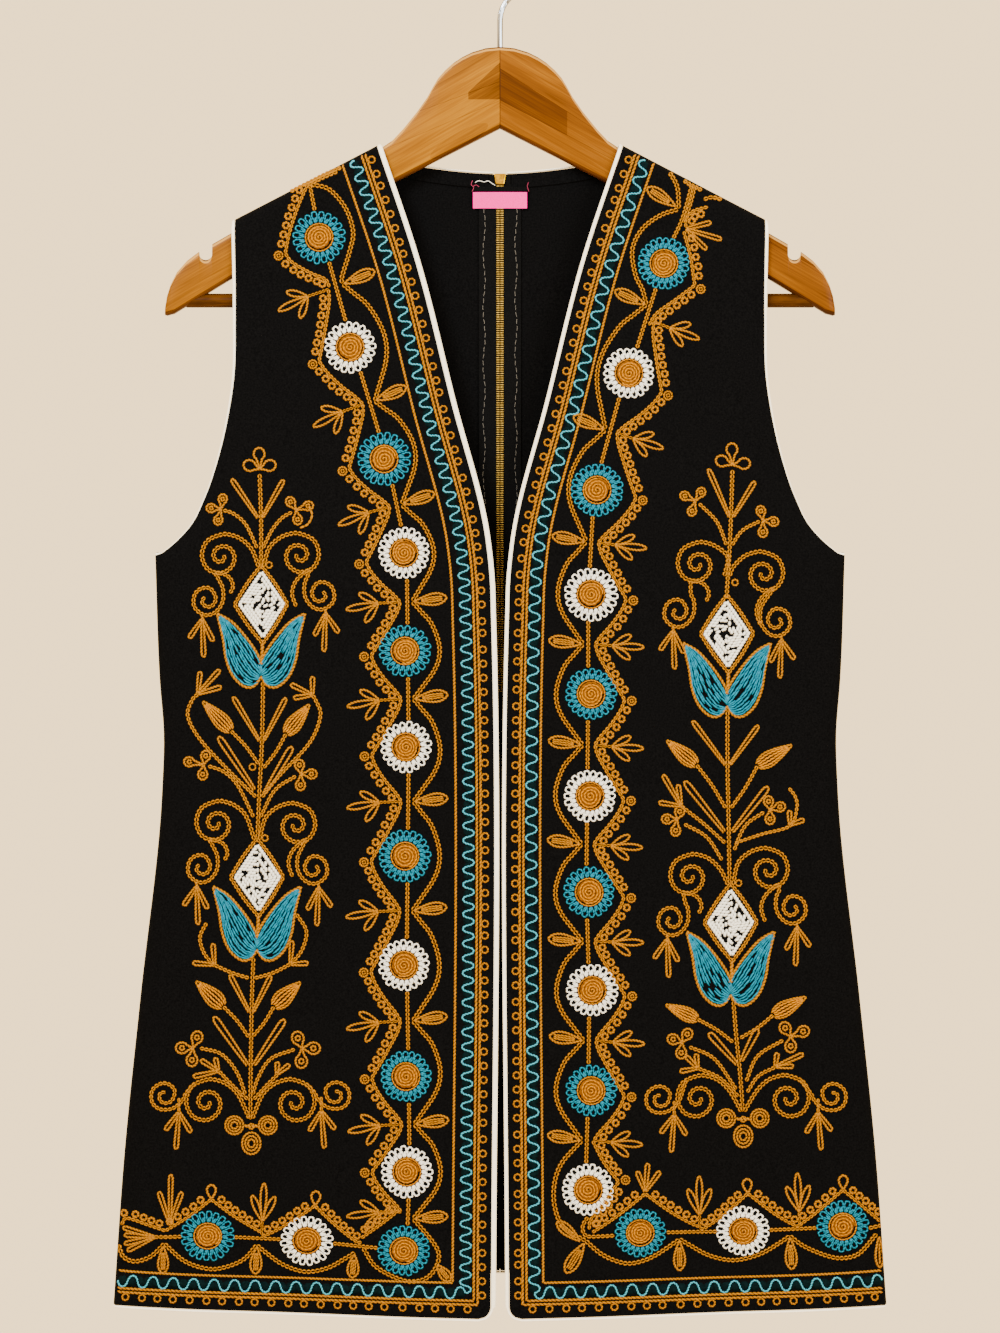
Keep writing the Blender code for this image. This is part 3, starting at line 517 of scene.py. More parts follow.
def declare_cloth(outer):
    """Works out the area of a panel from its own grid; the value is not kept."""
    rows, columns = outer.shape[:2]
    faces = wall_faces(rows, columns)[: (rows - 1) * (columns - 1)]
    area = area_of(outer.reshape(-1, 3), faces)


SIDES = ((-1, "right"), (1, "left"))
SEWN_PIPING = {-1: 0.0034, 1: 0.0026}
CORNER_ROWS = 6
NECK_SHARE = 0.481


def front_piping(grid, normals, side, hand):
    """Piping down the neck and front edge, round the corner and along the hem."""
    inner = grid - WALL * normals
    top, last = grid.shape[0] - 1, grid.shape[1] - 1
    places = [(row, 0) for row in range(top, -1, -1)] + [(0, column) for column in range(1, last + 1)]
    within = [(row, 1) for row in range(top, 0, -1)] + [(2, 1)]
    within += [(1, column) for column in range(1, last + 1)]
    edge = edge_stations(grid, inner, normals, places, within)
    widths = [SEWN_PIPING[side]] * (top - CORNER_ROWS) + [HEM_PIPING] * (last + 1 + CORNER_ROWS)
    piping("piping_front_" + hand, edge, widths, side)


def armhole_piping(grid, normals, side, hand):
    """Closed ring of piping: the front's armhole edge and its mirror on the back."""
    inner = grid - WALL * normals
    top, last = grid.shape[0] - 1, grid.shape[1] - 1
    places = [(row, last) for row in range(UNDERARM_ROW_FRONT, top + 1)]
    within = [(min(row + 1, top), last - 1) for row in range(UNDERARM_ROW_FRONT, top + 1)]
    within[0] = (UNDERARM_ROW_FRONT - 1, last)
    middle, normal, away = edge_stations(grid, inner, normals, places, within)
    middle[[0, -1], 1] = 0.0
    for vector in (normal, away):
        vector[[0, -1], 1] = 0.0
        vector /= np.linalg.norm(vector, axis=1, keepdims=True)
    flip = np.array((1.0, -1.0, 1.0))
    ring = [np.concatenate((part, part[-2:0:-1] * flip)) for part in (middle, normal, away)]
    piping("piping_armhole_" + hand, ring, [ARMHOLE_PIPING] * len(ring[0]), side, closed=True)


def back_piping(grid, normals, side, hand):
    """Piping of a half back's hem and neck."""
    top = grid.shape[0] - 1
    hem_columns = range(grid.shape[1])
    neck_columns = [column for column in hem_columns if BACK_SHARES[column] <= NECK_SHARE]
    for name, row, inside, columns, width in (("hem", 0, 1, hem_columns, HEM_PIPING),
                                              ("neck", top, top - 1, neck_columns, NECK_PIPING)):
        edge = edge_stations(grid, grid - WALL * normals, normals, [(row, column) for column in columns],
                             [(inside, column) for column in columns])
        piping("piping_%s_%s" % (name, hand), edge, [width] * len(columns), side)


for side, hand in SIDES:
    front = outer_grid(front_rows, FRONT_SHARES, FRONT_CLIMBS, -1.0, side)
    front_normals = grid_normals(front, -1.0, UNDERARM_ROW_FRONT + 1, False)
    back = outer_grid(back_rows, BACK_SHARES, BACK_CLIMBS, 1.0, side)
    back_normals = grid_normals(back, 1.0, UNDERARM_ROW_BACK + 1, True)
    cloth_piece("front_cloth_" + hand, front, front_normals, side, "front_" + hand)
    cloth_piece("back_cloth_" + hand, back, back_normals, side, "back_" + hand)
    front_piping(front, front_normals, side, hand)
    armhole_piping(front, front_normals, side, hand)
    back_piping(back, back_normals, side, hand)

# Threads: the place of each colour in the list of thread materials
THREADS = {"gold": 0, "turquoise": 1, "pale": 2, "white": 3, "brown": 4, "amber": 5, "ground": 6}


def thread_material(name, dark, light, roughness, shine=0.16):
    return noisy_material(name, dark, light, 700.0, roughness, shine=shine, bump=0.4, distance=0.0001)


THREAD_MATERIALS = (
    thread_material("gold_thread", (0.210, 0.080, 0.0003), (0.365, 0.145, 0.0006), 0.5, 0.05),
    thread_material("turquoise_thread", (0.0010, 0.080, 0.128), (0.0040, 0.190, 0.290), 0.45, 0.08),
    thread_material("pale_blue_thread", (0.020, 0.220, 0.320), (0.060, 0.330, 0.430), 0.45),
    thread_material("white_thread", (0.66, 0.64, 0.58), (0.84, 0.81, 0.73), 0.5),
    thread_material("brown_thread", (0.100, 0.030, 0.0002), (0.190, 0.064, 0.0003), 0.5, 0.02),
    thread_material("amber_thread", (0.275, 0.101, 0.0001), (0.480, 0.186, 0.0002), 0.5, 0.02),
    thread_material("ground_thread", (0.0006, 0.0030, 0.0036), (0.0016, 0.0072, 0.0084), 0.9, 0.02),
)
EMBROIDERY_LIFT = 0.0001
STEEPEST_SLOPE = 3.0
SLOPE_STEP = 0.0008
CHAIN_HEIGHT = 1.35
THREAD_FOOT = -0.4
TANGENT_REACH = 0.6
SIDE_MARGIN = 0.0012
HEM_BOW = 4
HEM_LIFT_TOP = -0.8445
HEM_LIFT_FALL = 0.0500


def smooth_path(points, pieces=8):
    """Dense curve through points of the design, in photo pixels."""
    points = np.array(points, dtype=float)
    padded = np.vstack((2 * points[0] - points[1], points, 2 * points[-1] - points[-2]))
    t = np.linspace(0.0, 1.0, pieces, endpoint=False)[:, None]
    parts = []
    for index in range(len(padded) - 3):
        a, b, c, d = padded[index:index + 4]
        parts.append(0.5 * (2 * b + (c - a) * t + (2 * a - 5 * b + 4 * c - d) * t ** 2
                            + (3 * b - a - 3 * c + d) * t ** 3))
    parts.append(padded[-2][None])
    return np.vstack(parts)


def round_points(angles, tall=1.0):
    return np.stack((np.cos(angles), tall * np.sin(angles)), axis=1)


def path_lengths(path):
    return np.concatenate(((0.0,), np.cumsum(np.linalg.norm(np.diff(path, axis=0), axis=1))))


def along(path, distances):
    """Points and unit normals of a path at distances from its start."""
    lengths = path_lengths(path)
    keep = np.concatenate(((True,), np.diff(lengths) > 1e-6))
    lengths, path = lengths[keep], path[keep]
    distances = np.clip(distances, 0.0, lengths[-1])

    def at(place):
        place = np.clip(place, 0.0, lengths[-1])
        return np.stack([np.interp(place, lengths, path[:, axis]) for axis in (0, 1)], axis=-1)

    tangent = at(distances + TANGENT_REACH) - at(distances - TANGENT_REACH)
    tangent /= np.maximum(np.linalg.norm(tangent, axis=-1, keepdims=True), 1e-9)
    normal = np.stack((-tangent[..., 1], tangent[..., 0]), axis=-1)
    return at(distances), normal


def hem_lift(x, z):
    """Rise of the stitches near the hem, which is cut straight where the charted line bows down."""
    share = np.clip(x / outer_edge(HEM_SIDE_Z), 0.0, 1.0)
    near = np.clip((HEM_LIFT_TOP - z) / HEM_LIFT_FALL, 0.0, 1.0)
    return (HEM_SIDE_Z - HEM_CENTRE_Z) * (share - share ** HEM_BOW) * near


class Needlework:
    """Stitches of one front, kept in photo pixels with a height in pixels above the cloth."""

    def __init__(self, side):
        self.side = side
        self.points = []
        self.faces = []
        self.colours = []
        self.count = 0

    def strands(self, centre, normal, half_width, height, colour):
        """Three-sided strands: centre (n, stations, 2), widths and heights along them."""
        number, stations = centre.shape[:2]
        left = centre - normal * half_width[..., None]
        right = centre + normal * half_width[..., None]
        low = np.full((number, stations, 1), THREAD_FOOT)
        high = np.broadcast_to(height, (number, stations))[..., None]
        rings = np.stack((np.concatenate((left, low), axis=2), np.concatenate((right, low), axis=2),
                          np.concatenate((centre, high), axis=2)), axis=2)
        base = self.count + np.arange(number)[:, None] * stations * 3
        faces = [np.stack((base[:, 0], base[:, 0] + 2, base[:, 0] + 1), axis=1)]
        for station in range(stations - 1):
            for corner in range(3):
                a = base[:, 0] + station * 3 + corner
                b = base[:, 0] + station * 3 + (corner + 1) % 3
                faces.append(np.stack((a, b, b + 3), axis=1))
                faces.append(np.stack((a, b + 3, a + 3), axis=1))
        end = base[:, 0] + (stations - 1) * 3
        faces.append(np.stack((end, end + 1, end + 2), axis=1))
        faces = np.concatenate(faces)
        self.points.append(rings.reshape(-1, 3))
        self.faces.append(faces)
        self.colours.append(np.full(len(faces), THREADS[colour]))
        self.count += number * stations * 3

    def chain(self, path, width=4.6, link=4.4, wire=2.1):
        """Gold chain stitch: each link is two leaf-shaped strands."""
        length = path_lengths(path)[-1]
        number = max(1, int(round(length / link)))
        t = np.array((0.0, 0.25, 0.65, 1.06))
        centre, normal = along(path, (np.arange(number)[:, None] + t) * length / number)
        bow = np.array((0.30, 0.95, 1.0, 0.15)) * (width - wire) / 2
        half = np.broadcast_to(np.array((0.7, 1.0, 1.0, 0.7)) * wire / 2, centre.shape[:2])
        rise = np.array((0.75, 1.0, 1.0, 0.8)) * CHAIN_HEIGHT
        for sign in (-1, 1):
            self.strands(centre + normal * (sign * bow)[:, None], normal, half, rise, "gold")

    def rope(self, path, colour="gold", width=2.4, link=3.4, height=1.3, slant=0.16, kept=None):
        """Stem stitch: short overlapping stitches, each a little slanted."""
        length = path_lengths(path)[-1]
        number = max(1, int(round(length / link)))
        t = np.array((-0.12, 0.3, 0.7, 1.12))
        centre, normal = along(path, (np.arange(number)[:, None] + t) * length / number)
        if kept:
            chosen = np.array([kept() for _ in range(number)])
            centre, normal = centre[chosen], normal[chosen]
        shift = (2 * t - 1) * slant * width
        half = np.broadcast_to(np.array((0.5, 1.0, 1.0, 0.5)) * width / 2, centre.shape[:2])
        rise = np.array((0.6, 1.0, 1.0, 0.6)) * height
        self.strands(centre + normal * shift[:, None], normal, half, rise, colour)

    def ring(self, centre, radius, width, start=0.0):
        """Small gold ring in stem stitch."""
        angles = start + np.linspace(0.0, 2 * math.pi, 11)
        self.rope(np.array(centre) + radius * round_points(angles), width=width, link=2.6, height=1.2)

    def finish(self, name):
        """One mesh of all the stitches, laid on the front's surface."""
        pixels = np.concatenate(self.points)
        x = np.abs(pixels[:, 0] - PHOTO_CENTRE_X) / PIXELS_PER_METRE
        z = photo_height(pixels[:, 1])
        x = np.minimum(x, outer_edge(z) - SIDE_MARGIN)
        z = z + hem_lift(x, z)
        height = pixels[:, 2] / PIXELS_PER_METRE + EMBROIDERY_LIFT
        step = SLOPE_STEP
        depth = front_depth(x, z, self.side)
        slope_x = (front_depth(x + step, z, self.side) - front_depth(x - step, z, self.side)) / (2 * step)
        slope_z = (front_depth(x, z + step, self.side) - front_depth(x, z - step, self.side)) / (2 * step)
        normal = np.stack((-slope_x, -np.ones_like(x), -slope_z), axis=1)
        normal[:, 0] = np.clip(normal[:, 0], -STEEPEST_SLOPE, STEEPEST_SLOPE)
        normal /= np.linalg.norm(normal, axis=1, keepdims=True)
        surface = np.stack((x, -depth, z), axis=1)
        points = surface + normal * height[:, None]
        points[:, 0] *= self.side
        return thread_mesh(name, points, np.concatenate(self.faces), np.concatenate(self.colours))


def thread_mesh(name, points, triangles, colours):
    """Mesh of triangles with a thread material for each, turned outward."""
    corners = points[triangles]
    volume = np.sum(corners[:, 0] * np.cross(corners[:, 1], corners[:, 2]))
    if volume < 0:
        triangles = triangles[:, ::-1]
    mesh = bpy.data.meshes.new(name)
    mesh.vertices.add(len(points))
    mesh.vertices.foreach_set("co", points.astype(np.float32).ravel())
    mesh.loops.add(triangles.size)
    mesh.loops.foreach_set("vertex_index", np.ascontiguousarray(triangles).astype(np.int32).ravel())
    mesh.polygons.add(len(triangles))
    mesh.polygons.foreach_set("loop_start", np.arange(0, triangles.size, 3, dtype=np.int32))
    mesh.polygons.foreach_set("material_index", colours.astype(np.int32))
    mesh.update(calc_edges=True)
    mesh.shade_smooth()
    item = bpy.data.objects.new(name, mesh)
    bpy.context.scene.collection.objects.link(item)
    for material in THREAD_MATERIALS:
        mesh.materials.append(material)
    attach(item, BODY)
    return item


# Border: distances of its lines in photo pixels from the outer edge of the piping, then the
# spacing of the picots and the length and swing of a wave
BORDERS = {
    -1: {"picots": 13.5, "double": 19.8, "wave": 30.0, "thin": 42.8, "spacing": 14.3, "length": 14.8,
         "swing": 5.4},
    1: {"picots": 13.7, "double": 20.0, "wave": 29.8, "thin": 38.6, "spacing": 14.6, "length": 17.6,
        "swing": 5.4},
}
HEM_BORDER = {"picots": 11.9, "double": 18.4, "wave": 28.0, "thin": 38.0, "spacing": 16.0, "length": 20.2,
              "swing": 5.8}
PICOT_RADIUS = 3.3
DOUBLE_HALF_GAP = 1.9
BORDER_TOP_Z = -0.1340
SEAM_CLEARANCE = 1.6
SIDE_CLEARANCE = 3.0


def border_line(side, offset, hem_offset):
    """Front edge moved in by an offset, with a square corner, then the hem out to the side."""
    heights = np.linspace(BORDER_TOP_Z, HEM_CENTRE_Z, 500)
    edge = np.stack((smooth_table(FRONT_EDGE, heights) * PIXELS_PER_METRE, photo_y(heights)), axis=1)
    tangent = np.gradient(edge, axis=0)
    tangent /= np.linalg.norm(tangent, axis=1, keepdims=True)
    upright = edge + offset * np.stack((tangent[:, 1], -tangent[:, 0]), axis=1)
    seam_y = photo_y(shoulder_line(upright[:, 0] / PIXELS_PER_METRE)) + SEAM_CLEARANCE
    reach = np.linspace(0.0, SIDE_SEAM[0][1] * PIXELS_PER_METRE, 300)
    climb = np.clip(reach / reach[-1], 0.0, 1.0) ** HEM_BOW
    foot = photo_y(HEM_CENTRE_Z) - climb * (photo_y(HEM_CENTRE_Z) - photo_y(HEM_SIDE_Z))
    hem = np.stack((reach, foot - hem_offset), axis=1)
    corner_x = upright[-1, 0]
    corner_y = float(np.interp(corner_x, hem[:, 0], hem[:, 1]))
    upright = upright[(upright[:, 1] > seam_y) & (upright[:, 1] < corner_y)]
    side_x = outer_edge(photo_height(hem[:, 1])) * PIXELS_PER_METRE - SIDE_CLEARANCE
    hem = hem[(hem[:, 0] > corner_x) & (hem[:, 0] < side_x)]
    corner = np.array(((corner_x, corner_y),))
    upright = np.vstack((upright, corner))
    hem = np.vstack((corner, hem))
    flip, shift = np.array((side, 1.0)), np.array((PHOTO_CENTRE_X, 0.0))
    return upright * flip + shift, hem * flip + shift


def wave_path(line, swing, wavelength):
    """Sewn zig-zag of round bends along a line."""
    length = path_lengths(line)[-1]
    count = max(1, round(length / wavelength))
    distance = np.linspace(0.0, length, int(length / 0.9))
    turn = 2 * math.pi * distance * count / length
    sway = distance - 0.035 * wavelength * np.sin(2 * turn)
    centre, normal = along(line, sway)
    return centre + normal * (swing * np.sin(turn))[:, None]


def picot_row(work, line, outer_line, spacing, shuffle):
    """Small loops that stand on a line, on the side of the outer line."""
    length = path_lengths(line)[-1]
    count = int(length / spacing)
    for index in range(count):
        distance = (index + 0.5) * length / count + shuffle.uniform(-0.06, 0.06) * spacing
        foot, _ = along(line, np.array((distance,)))
        reach = np.linalg.norm(outer_line - foot[0], axis=1)
        head = outer_line[np.argmin(reach)]
        direction = (head - foot[0]) / np.linalg.norm(head - foot[0])
        cross = np.array((-direction[1], direction[0]))
        angles = np.linspace(-math.pi, math.pi, 11)
        loop = head + PICOT_RADIUS * (np.outer(np.cos(angles), direction) + np.outer(np.sin(angles), cross))
        start = foot[0] + direction * 1.2
        loop = np.vstack((start, loop, start))
        work.rope(loop, width=2.2, link=2.8, height=1.3)


def sew_border(work, side):
    """Double line, thin line, wave on its ground and picots, up the front and along the hem."""
    shuffle = random.Random(11 + side)
    borders = (BORDERS[side], HEM_BORDER)
    double, thin, wave, picots = (border_line(side, *(border[name] for border in borders))
                                  for name in ("double", "thin", "wave", "picots"))
    for shift in (-DOUBLE_HALF_GAP, DOUBLE_HALF_GAP):
        for line in border_line(side, *(border["double"] + shift for border in borders)):
            work.rope(line, width=2.9, link=4.2, height=1.5, slant=0.18)
    for line in thin:
        work.rope(line, width=2.8, link=3.6)
    for line, border in zip(wave, borders):
        work.rope(line, "ground", 2 * border["swing"] + 4.5, link=9.0, height=0.3, slant=0.0)
    for line, border in zip(wave, borders):
        bends = wave_path(line, border["swing"], border["length"])
        work.rope(smooth_path(bends, pieces=2), "pale", 2.3, link=3.0)
    for line, outer_line, border in zip(double, picots, borders):
        picot_row(work, line, outer_line, border["spacing"], shuffle)


# Flower chains: centres in photo pixels and thread of the petals, from the shoulder to the side
FLOWERS = {
    -1: ((319, 237, "turquoise"), (350, 347, "white"), (384, 459, "turquoise"), (404, 553, "white"),
         (405, 651, "turquoise"), (406, 747, "white"), (405, 856, "turquoise"), (404, 965, "white"),
         (406, 1076, "turquoise"), (407, 1171, "white"), (404, 1251, "turquoise"), (307, 1242, "white"),
         (208, 1237, "turquoise")),
    1: ((664, 263, "turquoise"), (629, 373, "white"), (597, 490, "turquoise"), (591, 594.5, "white"),
        (591, 694, "turquoise"), (590, 796, "white"), (589, 892, "turquoise"), (592, 990, "white"),
        (591, 1090, "turquoise"), (588, 1189, "white"), (640, 1233, "turquoise"), (743, 1232, "white"),
        (842.6, 1227, "turquoise")),
}
FLOWER_RADIUS = 26.4
CENTRE_RADIUS = 13.9
PETAL_COUNTS = (20, 21, 22)
SPIRAL_TURNS = (3.6, 3.8, 4.0)

# Petal: distance from the flower's middle, then back from the tip, each with a share of the half width
PETAL_FOOT = ((14.8, 0.2), (18.2, 0.62))
PETAL_HEAD = ((4.4, 1.0), (1.5, 0.72), (0.5, 0.0))
PETAL_TIE = (14.6, 20.4)
PETAL_HALF_WIDTH = 2.75


def sew_flower(work, x, y, colour, shuffle):
    """Gold spiral in a ring of looped petals."""
    middle = np.array((x, y))
    petals = shuffle.choice(PETAL_COUNTS)
    start = shuffle.uniform(0.0, 1.0)
    outer = FLOWER_RADIUS * shuffle.uniform(0.97, 1.03)
    for index in range(petals):
        angle = (index + start) * 2 * math.pi / petals
        out = np.array((math.cos(angle), math.sin(angle)))
        cross = np.array((-out[1], out[0]))
        length = outer * shuffle.uniform(0.97, 1.02)
        shape = list(PETAL_FOOT) + [(length - back, share) for back, share in PETAL_HEAD]
        shape += [(far, -share) for far, share in shape[-2::-1]]
        path = np.array([middle + out * far + cross * (PETAL_HALF_WIDTH * share) for far, share in shape])
        work.rope(path, colour, 2.35, link=3.3, height=1.6, slant=0.05)
        work.rope(np.array([middle + out * far for far in PETAL_TIE]), colour, 2.9, link=5.8, height=1.2)
    turns = shuffle.choice(SPIRAL_TURNS)
    angles = np.linspace(0.0, turns * 2 * math.pi, 110) + start * 5
    radius = np.linspace(0.5, CENTRE_RADIUS - 2.0, 110)
    wobble = 1 + 0.05 * np.sin(3 * angles / turns + start * 9)
    spiral = np.stack((np.cos(angles) * wobble, np.sin(angles) / wobble), axis=1) * radius[:, None]
    work.rope(middle + spiral, "amber", 2.35, link=4.0, height=1.9, slant=0.12)
    disc = np.linspace(0.5, CENTRE_RADIUS - 1.6, 60)
    backing = round_points(np.linspace(0.0, 6 * 2 * math.pi, 60)) * disc[:, None]
    work.rope(middle + backing, "brown", 3.4, link=6.0, height=0.9, slant=0.0)
    rim = (CENTRE_RADIUS - 0.2) * round_points(np.linspace(0.0, 2 * math.pi, 37))
    work.rope(middle + rim, "amber", 1.7, link=3.2, height=1.7)


# Shape of the chain's side lines: share of the way between two joins, reach from the stem
INNER_SCALLOP = ((0.0, 8.0), (0.10, 16.5), (0.22, 26.5), (0.42, 33.8), (0.58, 34.0), (0.72, 28.5),
                 (0.86, 18.5), (1.0, 8.0))
OUTER_DOWN = ((0.0, -4.4), (0.10, -7.2), (0.24, -15.0), (0.38, -23.2), (0.55, -34.0))
OUTER_UP = ((0.55, -34.0), (0.66, -29.5), (0.80, -20.0), (0.92, -9.6), (1.0, -4.2))


def lateral_path(start, finish, shape, inward):
    """Points between two joins, at shares of the way and reaches to the inner side."""
    start, finish = np.array(start, dtype=float), np.array(finish, dtype=float)
    way = finish - start
    across = np.array((way[1], -way[0])) / np.linalg.norm(way) * inward
    return np.array([start + way * share + across * reach for share, reach in shape])


# Outlines from the root: share of the way to the tip, share of the half width
LEAF_EDGE = ((0.0, 0.0), (0.22, 0.50), (0.55, 0.98), (0.82, 0.86), (1.0, 0.0))
LOBE_EDGE = ((0.0, 0.45), (0.3, 0.75), (0.7, 1.0), (0.93, 1.0), (1.0, 0.0))
BUD_EDGE = ((0.0, 0.30), (0.10, 0.75), (0.32, 1.0), (0.62, 0.72), (0.88, 0.28), (1.0, 0.0))
LEAF_FILL = ((0.22, 0.5), (0.5, 1.0), (0.88, 0.8))
BUD_FILL = ((0.03, 0.6), (0.3, 1.0), (0.62, 0.75), (0.90, 0.30))


def shaped_path(root, tip, half_width, shape, mirrored=False):
    """Curve from a root to a tip by shares of the way and of the half width, and back again."""
    root, tip = np.array(root, dtype=float), np.array(tip, dtype=float)
    way = tip - root
    cross = np.array((-way[1], way[0])) / np.linalg.norm(way)
    rows = list(shape)
    if mirrored:
        rows += [(share, -bulge) for share, bulge in shape[-2::-1]]
    return smooth_path([root + way * share + cross * half_width * bulge for share, bulge in rows], pieces=5)


def leaf(work, root, tip, half_width, filled=True, width=2.7):
    """Pointed or rounded leaf sewn round its edge, with threads laid inside."""
    work.rope(shaped_path(root, tip, half_width, LEAF_EDGE, True), width=width, link=3.3, height=1.3)
    if filled:
        inside = half_width - width * 0.75
        for share in ((-0.6, 0.0, 0.6) if inside > 2.2 else (0.0,)):
            work.rope(shaped_path(root, tip, inside * share, LEAF_FILL), width=2.2, link=3.6, height=1.2)


SPRIG_HALF_WIDTH = 2.9
SCALLOP_WIDTH = 5.2
STEM_WIDTH = 4.6


def sprig(work, root, node, lobes):
    """Short stem from a join that parts into narrow looped lobes."""
    work.chain(smooth_path((root, node), pieces=4), width=3.4, link=4.0, wire=1.5)
    for tip in lobes:
        leaf(work, node, tip, SPRIG_HALF_WIDTH, filled=False, width=2.6)


def vine(work, points, width=4.4):
    work.chain(smooth_path(points), width=width)


def sew_zigzag(work, legs, middle, shuffle, peak_loop):
    """Legs of the outer zig-zag with small loops outside, and a larger one at the peak."""
    for leg in legs:
        path = smooth_path(leg)
        work.chain(path, width=4.1)
        edge_picots(work, path, np.array(middle, dtype=float), shuffle)
    if not peak_loop:
        return
    peak = np.array(legs[0][-1], dtype=float)
    out = peak - np.array(middle, dtype=float)
    out /= np.linalg.norm(out)
    if peak_loop == "leaf":
        leaf(work, peak + out * 0.5, peak + out * 14.5, 4.4, filled=False)
    else:
        work.ring(peak + out * 7.0, 4.2, width=2.3)
        work.ring(peak + out * 7.0, 1.7, width=2.0)


def sew_chain(work, side):
    flowers = FLOWERS[side]
    inward = -side
    shuffle = random.Random(5 + side)
    centres = [np.array(flower[:2], dtype=float) for flower in flowers]
    joins = [(a + b) / 2 for a, b in zip(centres, centres[1:])]
    for (x, y, colour) in flowers:
        sew_flower(work, x, y, colour, shuffle)
    for index, (a, b) in enumerate(zip(centres, centres[1:])):
        if index in BENT_STEMS[side]:
            vine(work, BENT_STEMS[side][index], STEM_WIDTH)
            continue
        way = (b - a) / np.linalg.norm(b - a)
        shift = np.zeros(2)
        if STEM_FROM[side] <= index < HEM_FROM:
            shift = np.array((way[1], -way[0])) * inward * STEM_SHIFT
        ends = (a + way * FLOWER_RADIUS + shift, b - way * FLOWER_RADIUS + shift)
        work.chain(smooth_path(ends, pieces=4), width=STEM_WIDTH, link=4.2)
    inner_joins, outer_joins = ([join + np.array(shifts[side].get(index, (0, 0)))
                                 for index, join in enumerate(joins)]
                                for shifts in (INNER_SHIFTS, OUTER_SHIFTS))
    for index in range(len(joins) - 1):
        if index in SKIPPED_SPANS[side]:
            continue
        on_hem = index >= HEM_FROM
        scallop = HEM_SCALLOP if on_hem else INNER_SCALLOP
        down, up = (HEM_DOWN, HEM_UP) if on_hem else (OUTER_DOWN, OUTER_UP)
        points = lateral_path(inner_joins[index], inner_joins[index + 1], scallop, inward)
        vine(work, points, SCALLOP_WIDTH)
        start, finish = outer_joins[index:index + 2]
        legs = [lateral_path(start, finish, leg, inward) for leg in (down, up)]
        sew_zigzag(work, legs, (start + finish) / 2, shuffle, "leaf" if on_hem else "ring")
    for index, join in enumerate(joins):
        if index in SKIPPED_JOINS[side]:
            continue
        way = centres[index + 1] - centres[index]
        way /= np.linalg.norm(way)
        across = np.array((way[1], -way[0])) * inward
        foot, base = inner_joins[index], outer_joins[index]
        root = base - across * 4.0
        if index >= HEM_FROM:
            leaf(work, foot + across * LEAF_ROOT, foot + across * HEM_LEAF_REACH[side][index], 5.4)
            node = root - across * 14.0
            lobes = [node - across * reach + way * along_way for reach, along_way in HEM_SPRIG_SPOTS]
        else:
            leaf(work, foot + across * LEAF_ROOT, foot + across * LEAF_REACH - way * LEAF_TILT, 5.6)
            spots = [base - across * reach + way * along_way for reach, along_way in SPRIG_SPOTS[side]]
            node, lobes = spots[0], spots[1:]
        if index not in SKIPPED_SPRIGS[side]:
            sprig(work, root, node, lobes)
    finish_chain(work, side, shuffle)


def finish_chain(work, side, shuffle):
    """What the chain does at the shoulder, round the front corner and at the side seam."""
    for points in CHAIN_SCALLOPS[side]:
        vine(work, points, SCALLOP_WIDTH)
    for legs, middle, loop in CHAIN_ZIGZAGS[side]:
        sew_zigzag(work, legs, middle, shuffle, loop)
    for points in CHAIN_STEMS[side]:
        vine(work, points, STEM_WIDTH)
    for root, tip, half_width in CHAIN_LEAVES[side]:
        leaf(work, root, tip, half_width)
    for root, tips in CHAIN_SPRIGS[side]:
        for tip in tips:
            lobe(work, root, tip)


# Places in photo pixels where the chain leaves its repeat
HEM_FROM = 10
HEM_SCALLOP = ((0.0, 7.5), (0.10, 15.0), (0.25, 25.5), (0.42, 31.5), (0.56, 31.5), (0.74, 25.5),
               (0.90, 15.0), (1.0, 7.5))
HEM_DOWN = ((0.0, -3.5), (0.06, -4.5), (0.24, -17.0), (0.49, -38.0))
HEM_UP = ((0.49, -38.0), (0.75, -17.0), (0.94, -4.5), (1.0, -3.5))
SKIPPED_SPANS = {-1: (9,), 1: (8, 9)}
SKIPPED_JOINS = {-1: (), 1: (9,)}
SKIPPED_SPRIGS = {-1: (10,), 1: ()}
INNER_SHIFTS = {
    -1: {0: (0.5, -6.0), 9: (0.0, 6.5)},
    1: {0: (7.5, -11.0), 10: (-12.5, 0.0), 11: (-3.5, 0.0)},
}
OUTER_SHIFTS = {
    -1: {0: (-2.0, -4.0), 10: (6.0, 0.0), 11: (4.0, 0.0)},
    1: {0: (3.5, 2.0), 10: (8.0, 0.0), 11: (7.0, 0.0)},
}
LEAF_ROOT = 9.5
LEAF_REACH = 42.0
LEAF_TILT = 4.0
HEM_LEAF_REACH = {-1: {10: 34.0, 11: 38.5}, 1: {10: 41.0, 11: 43.0}}
STEM_SHIFT = 2.8
STEM_FROM = {-1: 0, 1: 1}
